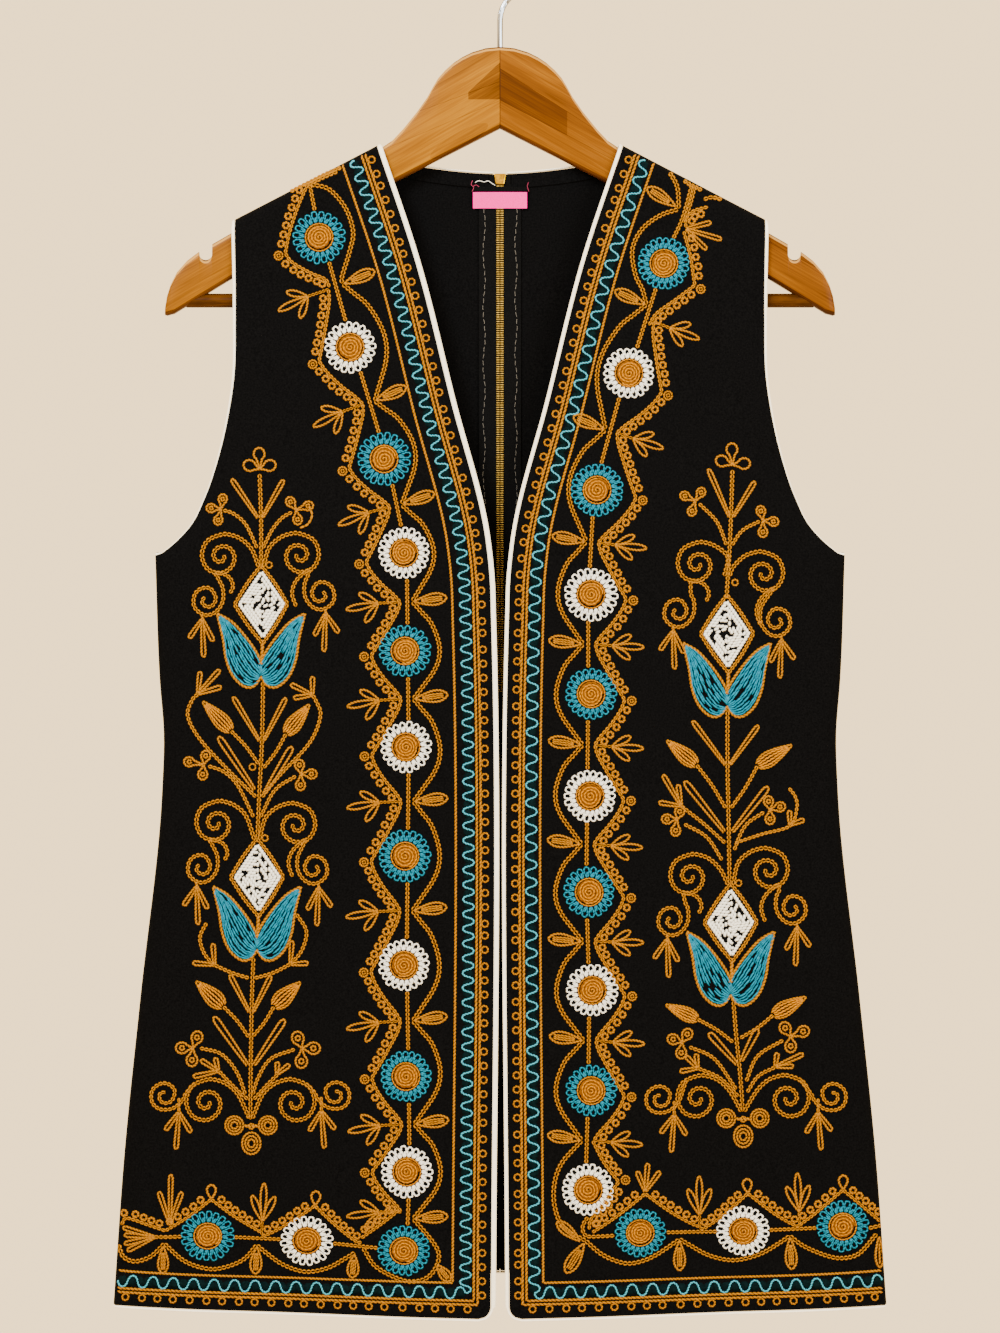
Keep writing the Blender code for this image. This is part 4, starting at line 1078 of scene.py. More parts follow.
# Sprig of an upright chain: reach from the join and way along it, for the fork and then each lobe's tip
SPRIG_SPOTS = {
    -1: ((26.0, 1.0), (45.5, -9.0), (58.5, 7.0), (39.5, 20.0)),
    1: ((21.0, 1.5), (40.0, -9.0), (53.0, 3.0), (39.0, 15.0)),
}
HEM_SPRIG_SPOTS = ((26.0, -11.5), (39.0, 0.0), (26.0, 11.5))
BENT_STEMS = {
    -1: {},
    1: {9: ((587.5, 1216), (582.5, 1226), (586, 1235.5), (600, 1236), (614, 1235.5))},
}
CHAIN_SCALLOPS = {
    -1: (((311, 184), (329, 189), (345.5, 208), (353, 231.5), (349.5, 251), (342, 276), (342, 283)),
         ((363.5, 1249), (376, 1268), (401, 1281), (418, 1282), (430, 1276), (437.5, 1264), (438.5, 1252),
          (431, 1239), (413.5, 1218)),
         ((257, 1247), (243, 1263), (222, 1271.5), (205, 1271.5), (184, 1263), (164.5, 1245)),
         ((164.5, 1245), (151, 1258), (135, 1263), (123, 1258), (118, 1246))),
    1: (((670, 172), (677.5, 187), (679, 208)),
        ((678, 209), (660.5, 215), (642.5, 228.5), (632.5, 249), (635.5, 274.5), (642.5, 289),
         (646.5, 304.5)),
        ((581.5, 1140), (564, 1159), (556, 1175), (553.5, 1196), (557.5, 1216), (567, 1230), (585.5, 1240.5)),
        ((585.5, 1240.5), (602, 1255), (622, 1264), (637, 1264), (655, 1257), (679, 1240.5)),
        ((789.5, 1237), (804, 1248), (826, 1257.5), (842, 1260), (859, 1255), (877, 1235))),
}
CHAIN_ZIGZAGS = {
    -1: (((((307.5, 184), (298, 205.5), (289.5, 231.5), (285, 253)),
           ((285, 253), (292, 262), (310, 272.5), (325, 279), (329.5, 287))), (322, 240), "ring"),
         ((((399, 1209), (382, 1223), (366, 1235), (361.5, 1238.5)),), (404, 1251), None),
         ((((261, 1233), (236, 1217), (211.5, 1199)), ((211.5, 1199), (188, 1217), (165.5, 1231.5))),
          (211, 1240), "leaf"),
         ((((165.5, 1231.5), (151, 1226.5), (127, 1219), (121, 1226)),), (150, 1260), None)),
    1: (((((684, 231), (690.5, 256), (695, 285)), ((695, 285), (675, 300), (657, 313), (649, 325))),
         (664, 265), "ring"),
        ((((592.5, 1140), (604, 1162), (618.5, 1181)),
          ((618.5, 1181), (604, 1201), (590.5, 1219), (589, 1229))),
         (588, 1189), "ring"),
        ((((592, 1232), (606, 1223), (625, 1209), (645, 1193)), ((645, 1193), (667, 1209), (690, 1223),
          (699.5, 1227))), (640, 1233), None),
        ((((686, 227), (686.5, 218), (694, 210.5), (708, 206.5)),), (680, 190), None),
        ((((799, 1225.5), (820, 1209), (843, 1190)), ((843, 1190), (862, 1206), (881, 1222.5))),
         (842, 1235), "leaf")),
}
CHAIN_STEMS = {
    -1: (((314.5, 210), (312, 197), (309.5, 184)),
         ((182, 1237.5), (168, 1238), (154, 1238)),
         ((341, 167), (326, 173), (309, 181.5), (290, 191)),
         ((337, 171), (322, 177.5), (308, 185))),
    1: (((673.5, 238), (681.5, 221), (688, 200), (692, 184)),
        ((683.5, 222), (690, 205), (695, 186)),
        ((684, 180), (690, 184), (702, 190)),
        ((704, 199), (712, 197), (722, 199)),
        ((869, 1229), (883, 1226.5))),
}
CHAIN_LEAVES = {
    -1: (((437, 1265), (450, 1281), 5.0), ((163.5, 1248), (163, 1276), 5.0)),
    1: (((676, 206), (647.5, 187.5), 5.6), ((584, 1243), (566, 1273), 6.2),
        ((879.5, 1238), (880.5, 1269), 4.0), ((580, 1241), (557, 1221), 5.0)),
}
CHAIN_SPRIGS = {
    -1: (((155, 1238), ((122.5, 1228.5), (124, 1236), (124, 1245), (127, 1252))),
         ((170, 1224), ((159, 1192), (171, 1174.5), (182, 1192)))),
    1: (((686, 228.5), ((711, 222), (721.5, 239), (706.5, 249))),
        ((645, 1191), ((637, 1171), (647.5, 1163), (659.5, 1171)))),
}


def edge_picots(work, line, middle, shuffle):
    """Row of small loops on the side of the zig-zag that faces away from its flower."""
    length = path_lengths(line)[-1]
    count = max(2, int(round(length / 10.4)))
    distances = 4.0 + (np.arange(count) + 0.5) * (length - 8.0) / count
    points, normals = along(line, distances)
    for point, normal in zip(points, normals):
        out = normal if np.dot(normal, point - middle) > 0 else -normal
        centre = point + out * (5.6 + shuffle.uniform(-0.4, 0.5))
        work.ring(centre, 3.0, width=3.0, start=shuffle.uniform(0.0, 6.0))
        work.rope(np.array((point + out * 1.5, centre - out * 1.0)), width=2.4, link=3.0)


# Upper and lower scrolls beside a tulip: angle in degrees, radius in photo pixels
UPPER_SCROLL = ((12, 31), (40, 26), (66, 23), (90, 21.5), (135, 20.8), (180, 19.8), (225, 19), (270, 17),
                (315, 14.6), (360, 12.8), (405, 11.2), (450, 9.6), (495, 8.8), (540, 8.2), (585, 7.0),
                (630, 5.6), (690, 3.4), (740, 1.4))
LOWER_SCROLL = ((52, 22.5), (33, 20.0), (0, 17), (-31, 15.8), (-65, 15.8), (-98, 15.5), (-135, 14.2),
                (-167, 13.2), (-210, 12.4), (-250, 12), (-292, 11.6), (-350, 9.8), (-400, 8.8),
                (-443, 7.4), (-500, 5.2), (-560, 3.0), (-600, 1.4))


def sweep(centre, table, scale, outward, turn=0.0):
    """Points round a centre, mirrored to run outward to the left (-1) or right (1)."""
    points = []
    for angle, radius in table:
        turned = math.radians(angle + turn)
        points.append((centre[0] - outward * scale * radius * math.cos(turned),
                       centre[1] - scale * radius * math.sin(turned)))
    return points


def lobe(work, root, tip, half_width=1.8):
    """Long narrow loop with rounded end."""
    work.rope(shaped_path(root, tip, half_width, LOBE_EDGE, True), width=2.6, link=3.4)


def trefoil(work, centre, loops, radius=4.6, open_loops=False):
    """Drop-shaped loops round a join, each filled by a small coil unless open."""
    centre = np.array(centre, dtype=float)
    for loop in loops:
        loop = np.array(loop, dtype=float)
        reach = np.linalg.norm(loop - centre)
        out = (loop - centre) / max(reach, 0.1)
        cross = np.array((-out[1], out[0]))
        angles = np.radians(np.linspace(150.0, -150.0, 11))
        shape = loop + radius * (np.outer(np.cos(angles), out) * 1.15 + np.outer(np.sin(angles), cross))
        drop = np.vstack((centre, shape, centre))
        work.rope(smooth_path(drop, pieces=4), width=2.6, link=3.0)
        if not open_loops:
            work.ring(loop, radius * 0.42, width=2.5)


def bud(work, tip, base, join, half_width):
    """Filled bud on a stem."""
    work.rope(shaped_path(base, tip, half_width, BUD_EDGE, True), width=2.4, link=3.4, height=1.5)
    for share in (-0.66, -0.22, 0.22, 0.66):
        work.rope(shaped_path(base, tip, half_width * share, BUD_FILL), "amber", 2.5, link=4.2, height=1.6)
    way = np.array(tip, dtype=float) - base
    cross = np.array((-way[1], way[0])) / np.linalg.norm(way)
    vine(work, (base, (np.array(base) + join) / 2 + cross * 1.5, join))


def fill_between(work, first, second, count, colour, shuffle, width, link):
    """Threads laid side by side between two edges that share their ends."""
    first, second = smooth_path(first), smooth_path(second)
    places = np.linspace(0.0, 1.0, 24)
    edge_a, _ = along(first, places * path_lengths(first)[-1])
    edge_b, _ = along(second, places * path_lengths(second)[-1])
    for index in range(count):
        share = (index + 0.5) / count
        line = mix(edge_a, edge_b, share)
        cut = 1 + int(abs(share - 0.5) * 2)
        sway = 0.7 * np.sin(places * shuffle.uniform(5.0, 11.0) + shuffle.uniform(0.0, 6.0))
        line = line + np.stack((sway, np.zeros_like(sway)), axis=1)
        inside = 0 < index < count - 1
        work.rope(line[cut:-cut], colour, width, link=link, height=1.8, slant=0.10,
                  kept=(lambda: shuffle.random() > 0.14) if inside else None)


# Tulips: centre of the white diamond and the four scroll centres, in photo pixels
TULIPS = {
    -1: ({"diamond": (261, 604.5), "upper": ((221.5, 556), (299, 555)),
          "lower": ((206, 599.5), (321.5, 594)), "neck": 0.0},
         {"diamond": (257, 877.5), "upper": ((216, 823), (295.5, 825)),
          "lower": ((200.5, 867), (314.5, 868)), "neck": 0.0}),
    1: ({"diamond": (727, 634), "upper": ((697.5, 564), (763.5, 573.5)),
         "lower": ((677, 611.5), (777.5, 620.5)), "neck": 20.0},
        {"diamond": (730.5, 922.5), "upper": ((690, 876), (768, 870)),
         "lower": ((671, 919.5), (793, 908)), "neck": 0.0}),
}
DIAMOND = ((0.0, -36.0), (-24.5, 0.0), (1.5, 36.0), (24.5, -0.5))
DIAMOND_RINGS = (0.90, 0.735, 0.57, 0.405, 0.24, 0.09)
PETAL_OUTER = ((-44.0, 9.0), (-37.5, 33.0), (-34.0, 54.0), (-27.0, 71.0), (-16.0, 81.0), (-6.5, 80.5),
               (0.5, 72.0))
PETAL_INNER = ((-44.0, 9.0), (-30.0, 18.5), (-17.0, 32.5), (-6.0, 48.0), (0.5, 61.0), (0.8, 68.0),
               (0.5, 72.0))
KNOT_ANGLES = {-1: 248, 1: 234}
HOOKS = {-1: ((10.5, 2.0), (16.5, 7.5), (18.0, 15.0), (15.0, 20.5)),
         1: ((5.0, 3.0), (14.0, 12.0), (17.5, 24.0), (13.5, 37.0))}


def sew_tulip(work, tulip, shuffle):
    centre = np.array(tulip["diamond"], dtype=float)
    top, left, bottom, right = (centre + np.array(corner) for corner in DIAMOND)

    def kept():
        return shuffle.random() > 0.27

    for share in DIAMOND_RINGS:
        tilt = shuffle.uniform(-0.6, 0.6)
        rim = [centre + (corner - centre) * share + (tilt, 0) for corner in (top, left, bottom, right)]
        work.rope(np.array(rim + rim[:1]), "white", 4.1, link=3.4, height=1.8, slant=0.16,
                  kept=None if share > 0.85 else kept)
    outline = np.array([centre + (corner - centre) * 1.085 for corner in (top, left, bottom, right)])
    for a, b in zip(outline, np.roll(outline, -1, axis=0)):
        bow = (a + b) / 2 + ((a + b) / 2 - centre) * 0.06
        work.chain(smooth_path((a, bow, b)), width=4.4, link=4.2)
    for outward, upper, lower in zip((-1, 1), tulip["upper"], tulip["lower"]):
        flip = np.array((-outward, 1.0))
        outer = np.array(PETAL_OUTER) * flip + centre
        inner = np.array(PETAL_INNER) * flip + centre
        fill_between(work, outer, inner, 11, "turquoise", shuffle, width=2.7, link=8.5)
        middle = (outer + inner) / 2
        away = outer - middle
        away /= np.maximum(np.linalg.norm(away, axis=1, keepdims=True), 0.1)
        work.rope(smooth_path(outer + away * 1.3), width=3.3, link=3.8, height=2.1)
        work.rope(smooth_path(inner[:5] - away[:5] * 1.3), width=3.3, link=3.8, height=2.1)
        start = top + (outward * 2.5, -2.0 - tulip["neck"])
        vine(work, [start] + sweep(upper, UPPER_SCROLL, 1.0, outward), width=5.0)
        knot = sweep(upper, ((KNOT_ANGLES[outward], 18.0),), 1.0, outward)[0]
        vine(work, [knot] + sweep(lower, LOWER_SCROLL, 1.0, outward), width=4.6)
        hook = [knot] + [(knot[0] - outward * x, knot[1] + y) for x, y in HOOKS[outward]]
        vine(work, hook, width=4.6)
        root = np.array(lower) + (outward * 4.0, 17.5)
        work.rope(np.array((root - (0, 3), root + (0, 3))), width=3.4)
        for reach, drop in TULIP_TASSELS:
            lobe(work, root + (0, 2), root + (outward * reach, drop))
    work.rope(np.array((bottom + (0, 2), centre + (0.5, 61.0))), width=4.2, link=3.6)
    work.ring(top + (8.0, -3.5 - 0.6 * tulip["neck"]), 3.0, width=2.2)


# Tassels hang at a reach and drop from their root, round loops at a shift from the middle
TULIP_TASSELS = ((13.0, 21.0), (-1.5, 40.0), (-11.0, 24.0))
FOOT_TASSELS = ((13.5, 18.0), (3.0, 37.0), (-12.0, 20.0))
FOOT_SIDE_LOOPS = ((-17.0, -1.0), (16.5, -1.0))
FOOT_LOW_LOOP = (0.0, 17.0)
FOOT_LOOP_TALL = 1.18


def round_loop(work, centre, radii, tall=1.0):
    """Rings of stem stitch, one inside the other."""
    angles = np.linspace(0.0, 2 * math.pi, 25)
    for radius in radii:
        work.rope(centre + radius * round_points(angles, tall), width=2.5, link=3.2, height=1.4)


def sew_foot(work, base, inner, outer, level):
    """Scrolls, tassels and the three round loops that end a panel."""
    for outward, inner_x, outer_spot in zip((-1, 1), inner, outer):
        scroll = sweep((inner_x, level), UPPER_SCROLL, 1.05, outward)
        vine(work, [(base[0] + outward * 1.5, base[1] - 2)] + scroll, width=5.0)
        start = (inner_x + outward * 12.0, level - 18.5)
        vine(work, [start] + sweep(outer_spot, LOWER_SCROLL, 0.95, outward, turn=-48.0), width=4.4)
        root = np.array((outer_spot[0] - outward * 14.5, outer_spot[1] + 17.0))
        vine(work, (root - (0, 14), root), width=3.8)
        for reach, drop in FOOT_TASSELS:
            lobe(work, root, root + (outward * reach, drop))
    centre = np.array(base, dtype=float) + (0.5, 6.0)
    work.ring(centre, 2.6, width=2.2)
    for shift in FOOT_SIDE_LOOPS:
        round_loop(work, centre + shift, (9.0, 6.2, 3.4))
        work.rope(np.array((centre, centre + np.array(shift) * 0.42)), width=3.6, link=3.4)
    round_loop(work, centre + FOOT_LOW_LOOP, (9.2, 6.2, 3.4), FOOT_LOOP_TALL)


# Chains of the two panels in photo pixels, by their width
PANEL_VINES = {
    -1: {
        2.8: (((309, 506), (312, 515), (308, 524), (300, 528)),),
        4.4: (((257, 548), (246, 525), (234, 514), (223, 510)),
              ((263, 548), (272, 530), (282, 518), (292, 512)),
              ((256, 797), (228, 770), (199.5, 739), (187.5, 716), (192, 700), (198, 694)),
              ((262, 797), (279, 776), (309.5, 743), (320.5, 716), (316, 701), (312.5, 695)),
              ((253.5, 817), (238, 786), (224, 772), (208, 766)), ((260.5, 817), (275, 790), (296, 776)),
              ((249, 978), (232.5, 973), (214.5, 965)), ((255, 978), (272.5, 973), (290.5, 964)),
              ((206.5, 923), (200, 937), (203.5, 952), (213, 965)),
              ((296.5, 914), (306.5, 931), (302, 950), (291, 964)),
              ((245.5, 1094), (237, 1072), (221.5, 1054), (200, 1048)),
              ((253, 1094), (258.5, 1077), (271, 1058.5), (295, 1049)),
              ((248, 1099), (235.5, 1088), (219, 1071)), ((254, 1099), (266, 1086), (278, 1074))),
        4.8: (((263, 682), (262, 741), (259.5, 790), (257.5, 838)),
              ((261, 568), (261, 520), (259.5, 474)),
              ((253.5, 958), (252, 1000), (251, 1060), (250.5, 1119))),
    },
    1: {
        4.0: (((735, 843), (762.5, 834), (790, 826), (797, 808), (795.5, 797), (789, 788)),),
        4.4: (((726.5, 545), (717, 522), (699, 503.5)), ((732, 545), (742.5, 530.5), (760, 521)),
              ((725, 843), (704, 824), (690, 813), (681, 806)), ((722, 860), (706.5, 837), (684, 824)),
              ((734, 850), (745, 826), (764, 812)), ((736, 1089), (714, 1058.5), (689, 1046.5)),
              ((746, 1081), (757.5, 1056), (783, 1040)), ((738, 1096), (720, 1078), (698, 1068)),
              ((747, 1092), (758, 1076), (775, 1067))),
        4.8: (((727.5, 707), (727.5, 765), (728.5, 820), (729.5, 884)),
              ((726.5, 598), (729, 560), (731, 517), (732.5, 470)),
              ((733, 997), (736, 1035), (740, 1075), (742.5, 1111))),
    },
}
# Long loops of the panels, by their half width: root, then the tip of each
PANEL_LOBES = {
    -1: {
        1.8: (((258, 518), ((231.5, 479),)), ((262, 518), ((283.5, 480),)), ((259.5, 741), ((233, 697),)),
              ((263.5, 741), ((286, 698),)), ((197.5, 694), ((200, 672), (219.5, 670), (221, 687))),
              ((312.5, 695), ((312.5, 677), (291, 684.5), (294, 698))),
              ((214.5, 965), ((213, 944), (193, 963))), ((290.5, 964), ((292, 941), (308, 963))),
              ((249.5, 1012), ((230, 975),)), ((253, 1012), ((271, 976),)),
              ((218.5, 1071), ((201, 1060), (215.5, 1058), (193.5, 1076.5))),
              ((277, 1074), ((277.5, 1062), (289.5, 1064.5)))),
        2.6: (((254.5, 790), ((218.5, 737),)), ((264, 794), ((292, 747),)), ((248, 1065), ((214, 1017),)),
              ((254, 1065), ((284.5, 1019.5),))),
    },
    1: {
        1.8: (((729.5, 517), ((708.5, 469),)), ((733, 517), ((755, 481.5),)),
              ((725.5, 765), ((692.5, 721),)), ((729.5, 765), ((758.5, 725.5),)),
              ((681, 806), ((663, 775), (678, 785), (659, 802.5))),
              ((790, 825), ((804, 820), (789.5, 811))),
              ((697.5, 1068), ((686, 1056), (696, 1054), (680, 1071))),
              ((775, 1066.5), ((777, 1053), (803, 1054), (793, 1066)))),
        2.6: (((724.5, 832), ((684.5, 781.5),)), ((732, 832), ((768, 787),)),
              ((737, 1064), ((709, 1033),)), ((741, 1061), ((757.5, 1029),))),
    },
}
# Trefoils: the join, the radius of a loop, then the middle of each loop
PANEL_TREFOILS = {
    -1: (((221, 509), 4.2, ((222.5, 499), (211, 508), (218, 520))),
         ((296, 510), 4.4, ((290.5, 502), (308, 506), (297.5, 519.5))),
         ((203.5, 765), 4.6, ((205.5, 756), (189, 762), (202.5, 774.5))),
         ((301, 774), 4.6, ((299.5, 765), (311.5, 774), (300.5, 785))),
         ((193, 1048), 5.4, ((197, 1037.5), (182, 1048), (192, 1060))),
         ((302, 1048), 5.8, ((298, 1038), (313.5, 1048), (301.5, 1061)))),
    1: (((695.5, 501), 4.2, ((701, 492.5), (685, 496), (692, 511))),
        ((763, 520.5), 4.4, ((761, 511), (773.5, 521.5), (763, 532))),
        ((677, 819), 4.6, ((679.5, 811.5), (667, 819), (675.5, 830.5))),
        ((770, 810), 4.6, ((768.5, 801.5), (780, 807), (770, 819))),
        ((682, 1042), 5.0, ((687, 1034), (673, 1039), (681, 1052.5))),
        ((790.5, 1036.5), 5.4, ((785, 1028), (803, 1031.5), (790.5, 1046)))),
}
# Open trefoils at the panels' tops
PANEL_CROWNS = {
    -1: (((259.5, 469), 5.4, ((259, 454), (249.5, 465.5), (269.5, 465.5))),),
    1: (((732.5, 465), 5.4, ((732, 449.5), (722, 461), (744, 463.5))),),
}
# Buds: tip, base, the end of the stem and half the width
PANEL_BUDS = {
    -1: (((202.5, 701.5), (231, 731), (258.5, 764), 7.4), ((309.5, 704.5), (286, 734), (263.5, 768), 7.4),
         ((196, 981.5), (223.5, 1006.5), (249, 1037), 8.2),
         ((300.5, 982), (274, 1006.5), (253, 1036), 8.2)),
    1: (((666.5, 740.5), (696.5, 765), (725.5, 808), 7.4), ((792, 745), (757.5, 766), (731, 808), 7.4),
        ((665.5, 1004.5), (697.5, 1019), (733, 1042), 6.6), ((806, 997), (773, 1015), (740, 1038), 7.4)),
}
# Feet: end of the stem, x of the inner scrolls and their level, and middles of the outer scrolls
PANEL_FEET = {
    -1: {"base": (251, 1120), "inner": (207.0, 294.0), "outer": ((164.5, 1095), (336, 1093.5)),
         "level": 1102.0},
    1: {"base": (742.5, 1113), "inner": (698.0, 788.0), "outer": ((659.5, 1097.5), (832.5, 1095.5)),
        "level": 1098.0},
}
PANEL_EYE = {"centre": (252.5, 767), "radius": 3.2}


def sew_panel(work, side):
    """Stems, curls, buds and foot of the viewer's left (-1) or right (1) panel."""
    for width, lines in PANEL_VINES[side].items():
        for points in lines:
            vine(work, points, width)
    for half_width, rows in PANEL_LOBES[side].items():
        for root, tips in rows:
            for tip in tips:
                lobe(work, root, tip, half_width)
    for centre, radius, loops in PANEL_TREFOILS[side]:
        trefoil(work, centre, loops, radius)
    for centre, radius, loops in PANEL_CROWNS[side]:
        trefoil(work, centre, loops, radius, open_loops=True)
    for tip, base, join, half_width in PANEL_BUDS[side]:
        bud(work, tip, base, join, half_width)
    if side < 0:
        work.ring(PANEL_EYE["centre"], PANEL_EYE["radius"], width=2.0)
    sew_foot(work, **PANEL_FEET[side])


for side, hand in SIDES:
    work = Needlework(side)
    sew_border(work, side)
    work.finish("border_stitches_" + hand)
    work = Needlework(side)
    sew_chain(work, side)
    work.finish("flower_stitches_" + hand)
    work = Needlework(side)
    shuffle = random.Random(3 + side)
    for tulip in TULIPS[side]:
        sew_tulip(work, tulip, shuffle)
    sew_panel(work, side)
    work.finish("tulip_stitches_" + hand)


# Fine cords: loose threads, seams and stitch lines off the fronts' embroidery
def fine_cords(name, lines, radius, material, sides=5):
    """One mesh of thin round threads along lines of (x, y, z) points."""
    points, faces = [], []
    for line in lines:
        line = np.asarray(line, dtype=float)
        tangent = np.gradient(line, axis=0)
        tangent /= np.linalg.norm(tangent, axis=1, keepdims=True)
        first = np.cross(tangent, np.array((0.0, 1.0, 0.02)))
        first /= np.linalg.norm(first, axis=1, keepdims=True)
        second = np.cross(tangent, first)
        base, count = len(points), len(line)
        for spot, a, b in zip(line, first, second):
            for index in range(sides):
                turn = 2 * math.pi * index / sides
                points.append(spot + radius * (math.cos(turn) * a + math.sin(turn) * b))
        for ring in range(count - 1):
            low = base + ring * sides
            for index in range(sides):
                here, following = low + index, low + (index + 1) % sides
                faces.append((here, following, following + sides, here + sides))
        faces.append(tuple(base + index for index in range(sides)))
        faces.append(tuple(base + (count - 1) * sides + index for index in range(sides)))
    item = new_mesh(name, points, faces, [material])
    return item


# Zip: distances from the centre, heights and the lift of the tape off the cloth
ZIP_TOP_Z = -0.1616
ZIP_LOW_Z = -0.5000
TAPE_OUTER_X = 0.0140
TAPE_NARROW_X = 0.0070
TAPE_THICKNESS = 0.0008
TAPE_LIFT = 1.5 * GAP
TAPE_STEP_Z = float(back_neck(0.0)) - 3 * GAP - 0.0088
TAPE_STITCH_X = 0.0106
TAPE_STITCHES = 72
TAPE_STITCH_PITCH = 0.0046
TAPE_STITCH_LENGTH = 0.0031
TAPE_STITCH_RADIUS = 0.00017
TOOTH_PITCH = 0.0015
TOOTH_WIDTH = 0.0023
TOOTH_HEIGHT = 0.00075
TOOTH_DEPTH = 0.0020
TOOTH_PROUD = 0.0006


def back_face(x, z):
    """Depth of the back's outer face near the centre, with its creases."""
    x, z = np.broadcast_arrays(np.asarray(x, dtype=float), np.asarray(z, dtype=float))
    base = panel_depth(x, outer_edge(z), z, z, BACK_FOLDS)
    return base + np.minimum(creases(x, z, BACK_CREASES[-1]), creases(x, z, BACK_CREASES[1]))


def zip_middle(z):
    return back_face(0.0, z) - WALL - TAPE_LIFT - TAPE_THICKNESS / 2


def tooth_mesh():
    """Rows of cast teeth, one row on each side of the centre at the same heights."""
    frames = ((-0.5, 1.0, 1.0), (0.15, 1.0, 1.0), (0.5, 0.72, 0.62))
    template = [(sx * wide * TOOTH_WIDTH / 2, -level * TOOTH_DEPTH, sz * tall * TOOTH_HEIGHT / 2)
                for level, wide, tall in frames for sx, sz in ((-1, -1), (1, -1), (1, 1), (-1, 1))]
    skin = [(0, 1, 2, 3), (8, 9, 10, 11)]
    for ring in (0, 4):
        for index in range(4):
            second = (index + 1) % 4
            skin.append((ring + index, ring + second, ring + 4 + second, ring + 4 + index))
    points, faces = [], []
    number = int((ZIP_TOP_Z - ZIP_LOW_Z) / TOOTH_PITCH)
    for side in (-1, 1):
        for index in range(number):
            z = ZIP_TOP_Z - (index + 0.5) * TOOTH_PITCH
            place = np.array((side * (TOOTH_WIDTH / 2 + 0.00015), float(zip_middle(z)) - TOOTH_PROUD, z))
            base = len(points)
            points += [place + corner for corner in template]
            faces += [tuple(base + corner for corner in face) for face in skin]
    return points, faces


TOOTH_METAL = noisy_material("zip_teeth", (0.16, 0.09, 0.010), (0.46, 0.31, 0.070), 900.0, 0.45,
                             metallic=0.25, shine=0.1)
SEWN_DULL = noisy_material("seam_thread", (0.060, 0.055, 0.048), (0.130, 0.120, 0.105), 1500.0, 0.8)
SEWN_BLACK = noisy_material("black_thread", (0.0008, 0.0008, 0.0010), (0.0024, 0.0024, 0.0027), 900.0, 0.9,
                            shine=0.02)
LOOSE_WHITE = noisy_material("loose_thread", (0.62, 0.60, 0.56), (0.80, 0.78, 0.74), 1500.0, 0.7)
RUBY = noisy_material("ruby_thread", (0.16, 0.004, 0.03), (0.30, 0.010, 0.07), 1500.0, 0.8)
LABEL_BLACK = noisy_material("black_ribbon", (0.0010, 0.0010, 0.0012), (0.0030, 0.0030, 0.0033), 1500.0, 0.9,
                             shine=0.02)

points, faces = tooth_mesh()
chain = new_mesh("zip_teeth", points, faces, [TOOTH_METAL], smooth=False)
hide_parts("zip_chain")


def slab(near, thickness):
    """Points of a thin piece: its near face, then the same face moved along Y."""
    return np.concatenate((near.reshape(-1, 3), (near + np.array((0.0, thickness, 0.0))).reshape(-1, 3)))


def zip_tape(side, hand):
    """Woven tape, narrow above the facing's lower edge, with a slight ripple."""
    heights = np.linspace(ZIP_LOW_Z - TAPE_OUTER_X, float(back_neck(0.0)) - GAP, 110)
    narrow = np.where(heights > TAPE_STEP_Z, TAPE_NARROW_X, TAPE_OUTER_X)
    columns = np.linspace(0.0, 1.0, 6)
    x = mix(0.0, narrow[:, None], columns[None, :])
    z = np.broadcast_to(heights[:, None], x.shape)
    ripple = 0.00012 * np.sin(z * 900.0 + side) * columns
    grid = np.stack((side * x, back_face(x, z) - WALL - TAPE_LIFT + ripple, z), axis=2)
    tape = new_mesh("zip_tape_cloth_" + hand, slab(grid, -TAPE_THICKNESS), wall_faces(*x.shape), [TAPE])
    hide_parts("zip_tape_" + hand)


def zip_stitches(side, hand):
    """Running stitches that hold the tape, a little uneven."""
    lines = []
    for index in range(TAPE_STITCHES):
        high = TAPE_STEP_Z - 0.004 - index * TAPE_STITCH_PITCH
        run = np.linspace(high, high - TAPE_STITCH_LENGTH, 5)
        sway = TAPE_STITCH_X + 0.0007 * np.sin(run * 170.0 + side) + 0.0002 * np.sin(run * 900.0)
        depth = back_face(sway, run) - WALL - TAPE_LIFT - TAPE_THICKNESS - 0.0001
        lines.append(np.stack((side * sway, depth, run), axis=1))
    fine_cords("zip_stitches_" + hand, lines, TAPE_STITCH_RADIUS, SEWN_DULL)


for side, hand in SIDES:
    zip_tape(side, hand)
    zip_stitches(side, hand)

# Label: bare pink ribbon under a black turned-in strip, with its corner threads
LABEL_HALF = 0.0180
LABEL_TOP_Z = -0.1627
LABEL_LOW_Z = -0.1772
LABEL_BLACK_Z = -0.1664
LABEL_THICKNESS = 0.0006


def label_front(x, z):
    front = zip_middle(LABEL_TOP_Z) - TOOTH_DEPTH / 2 - GAP - LABEL_THICKNESS
    hang = (LABEL_TOP_Z - z) / (LABEL_TOP_Z - LABEL_LOW_Z)
    return front + LABEL_THICKNESS * (x / LABEL_HALF) ** 2 + 0.00016 * np.sin(x * 700.0) * hang


x = np.linspace(-LABEL_HALF, LABEL_HALF, 33)[None, :]
z = np.concatenate((np.linspace(LABEL_LOW_Z, LABEL_BLACK_Z, 9),
                    np.linspace(LABEL_BLACK_Z + 0.0002, LABEL_TOP_Z, 4)))
x, z = np.broadcast_arrays(x, z[:, None])
grid = np.stack((x, label_front(x, z), z), axis=2)
ribbon = new_mesh("label_ribbon", slab(grid, LABEL_THICKNESS), wall_faces(*x.shape), [PINK, LABEL_BLACK])
for polygon in ribbon.data.polygons:
    if polygon.center.z > LABEL_BLACK_Z + 0.0001:
        polygon.material_index = 1
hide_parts("label")


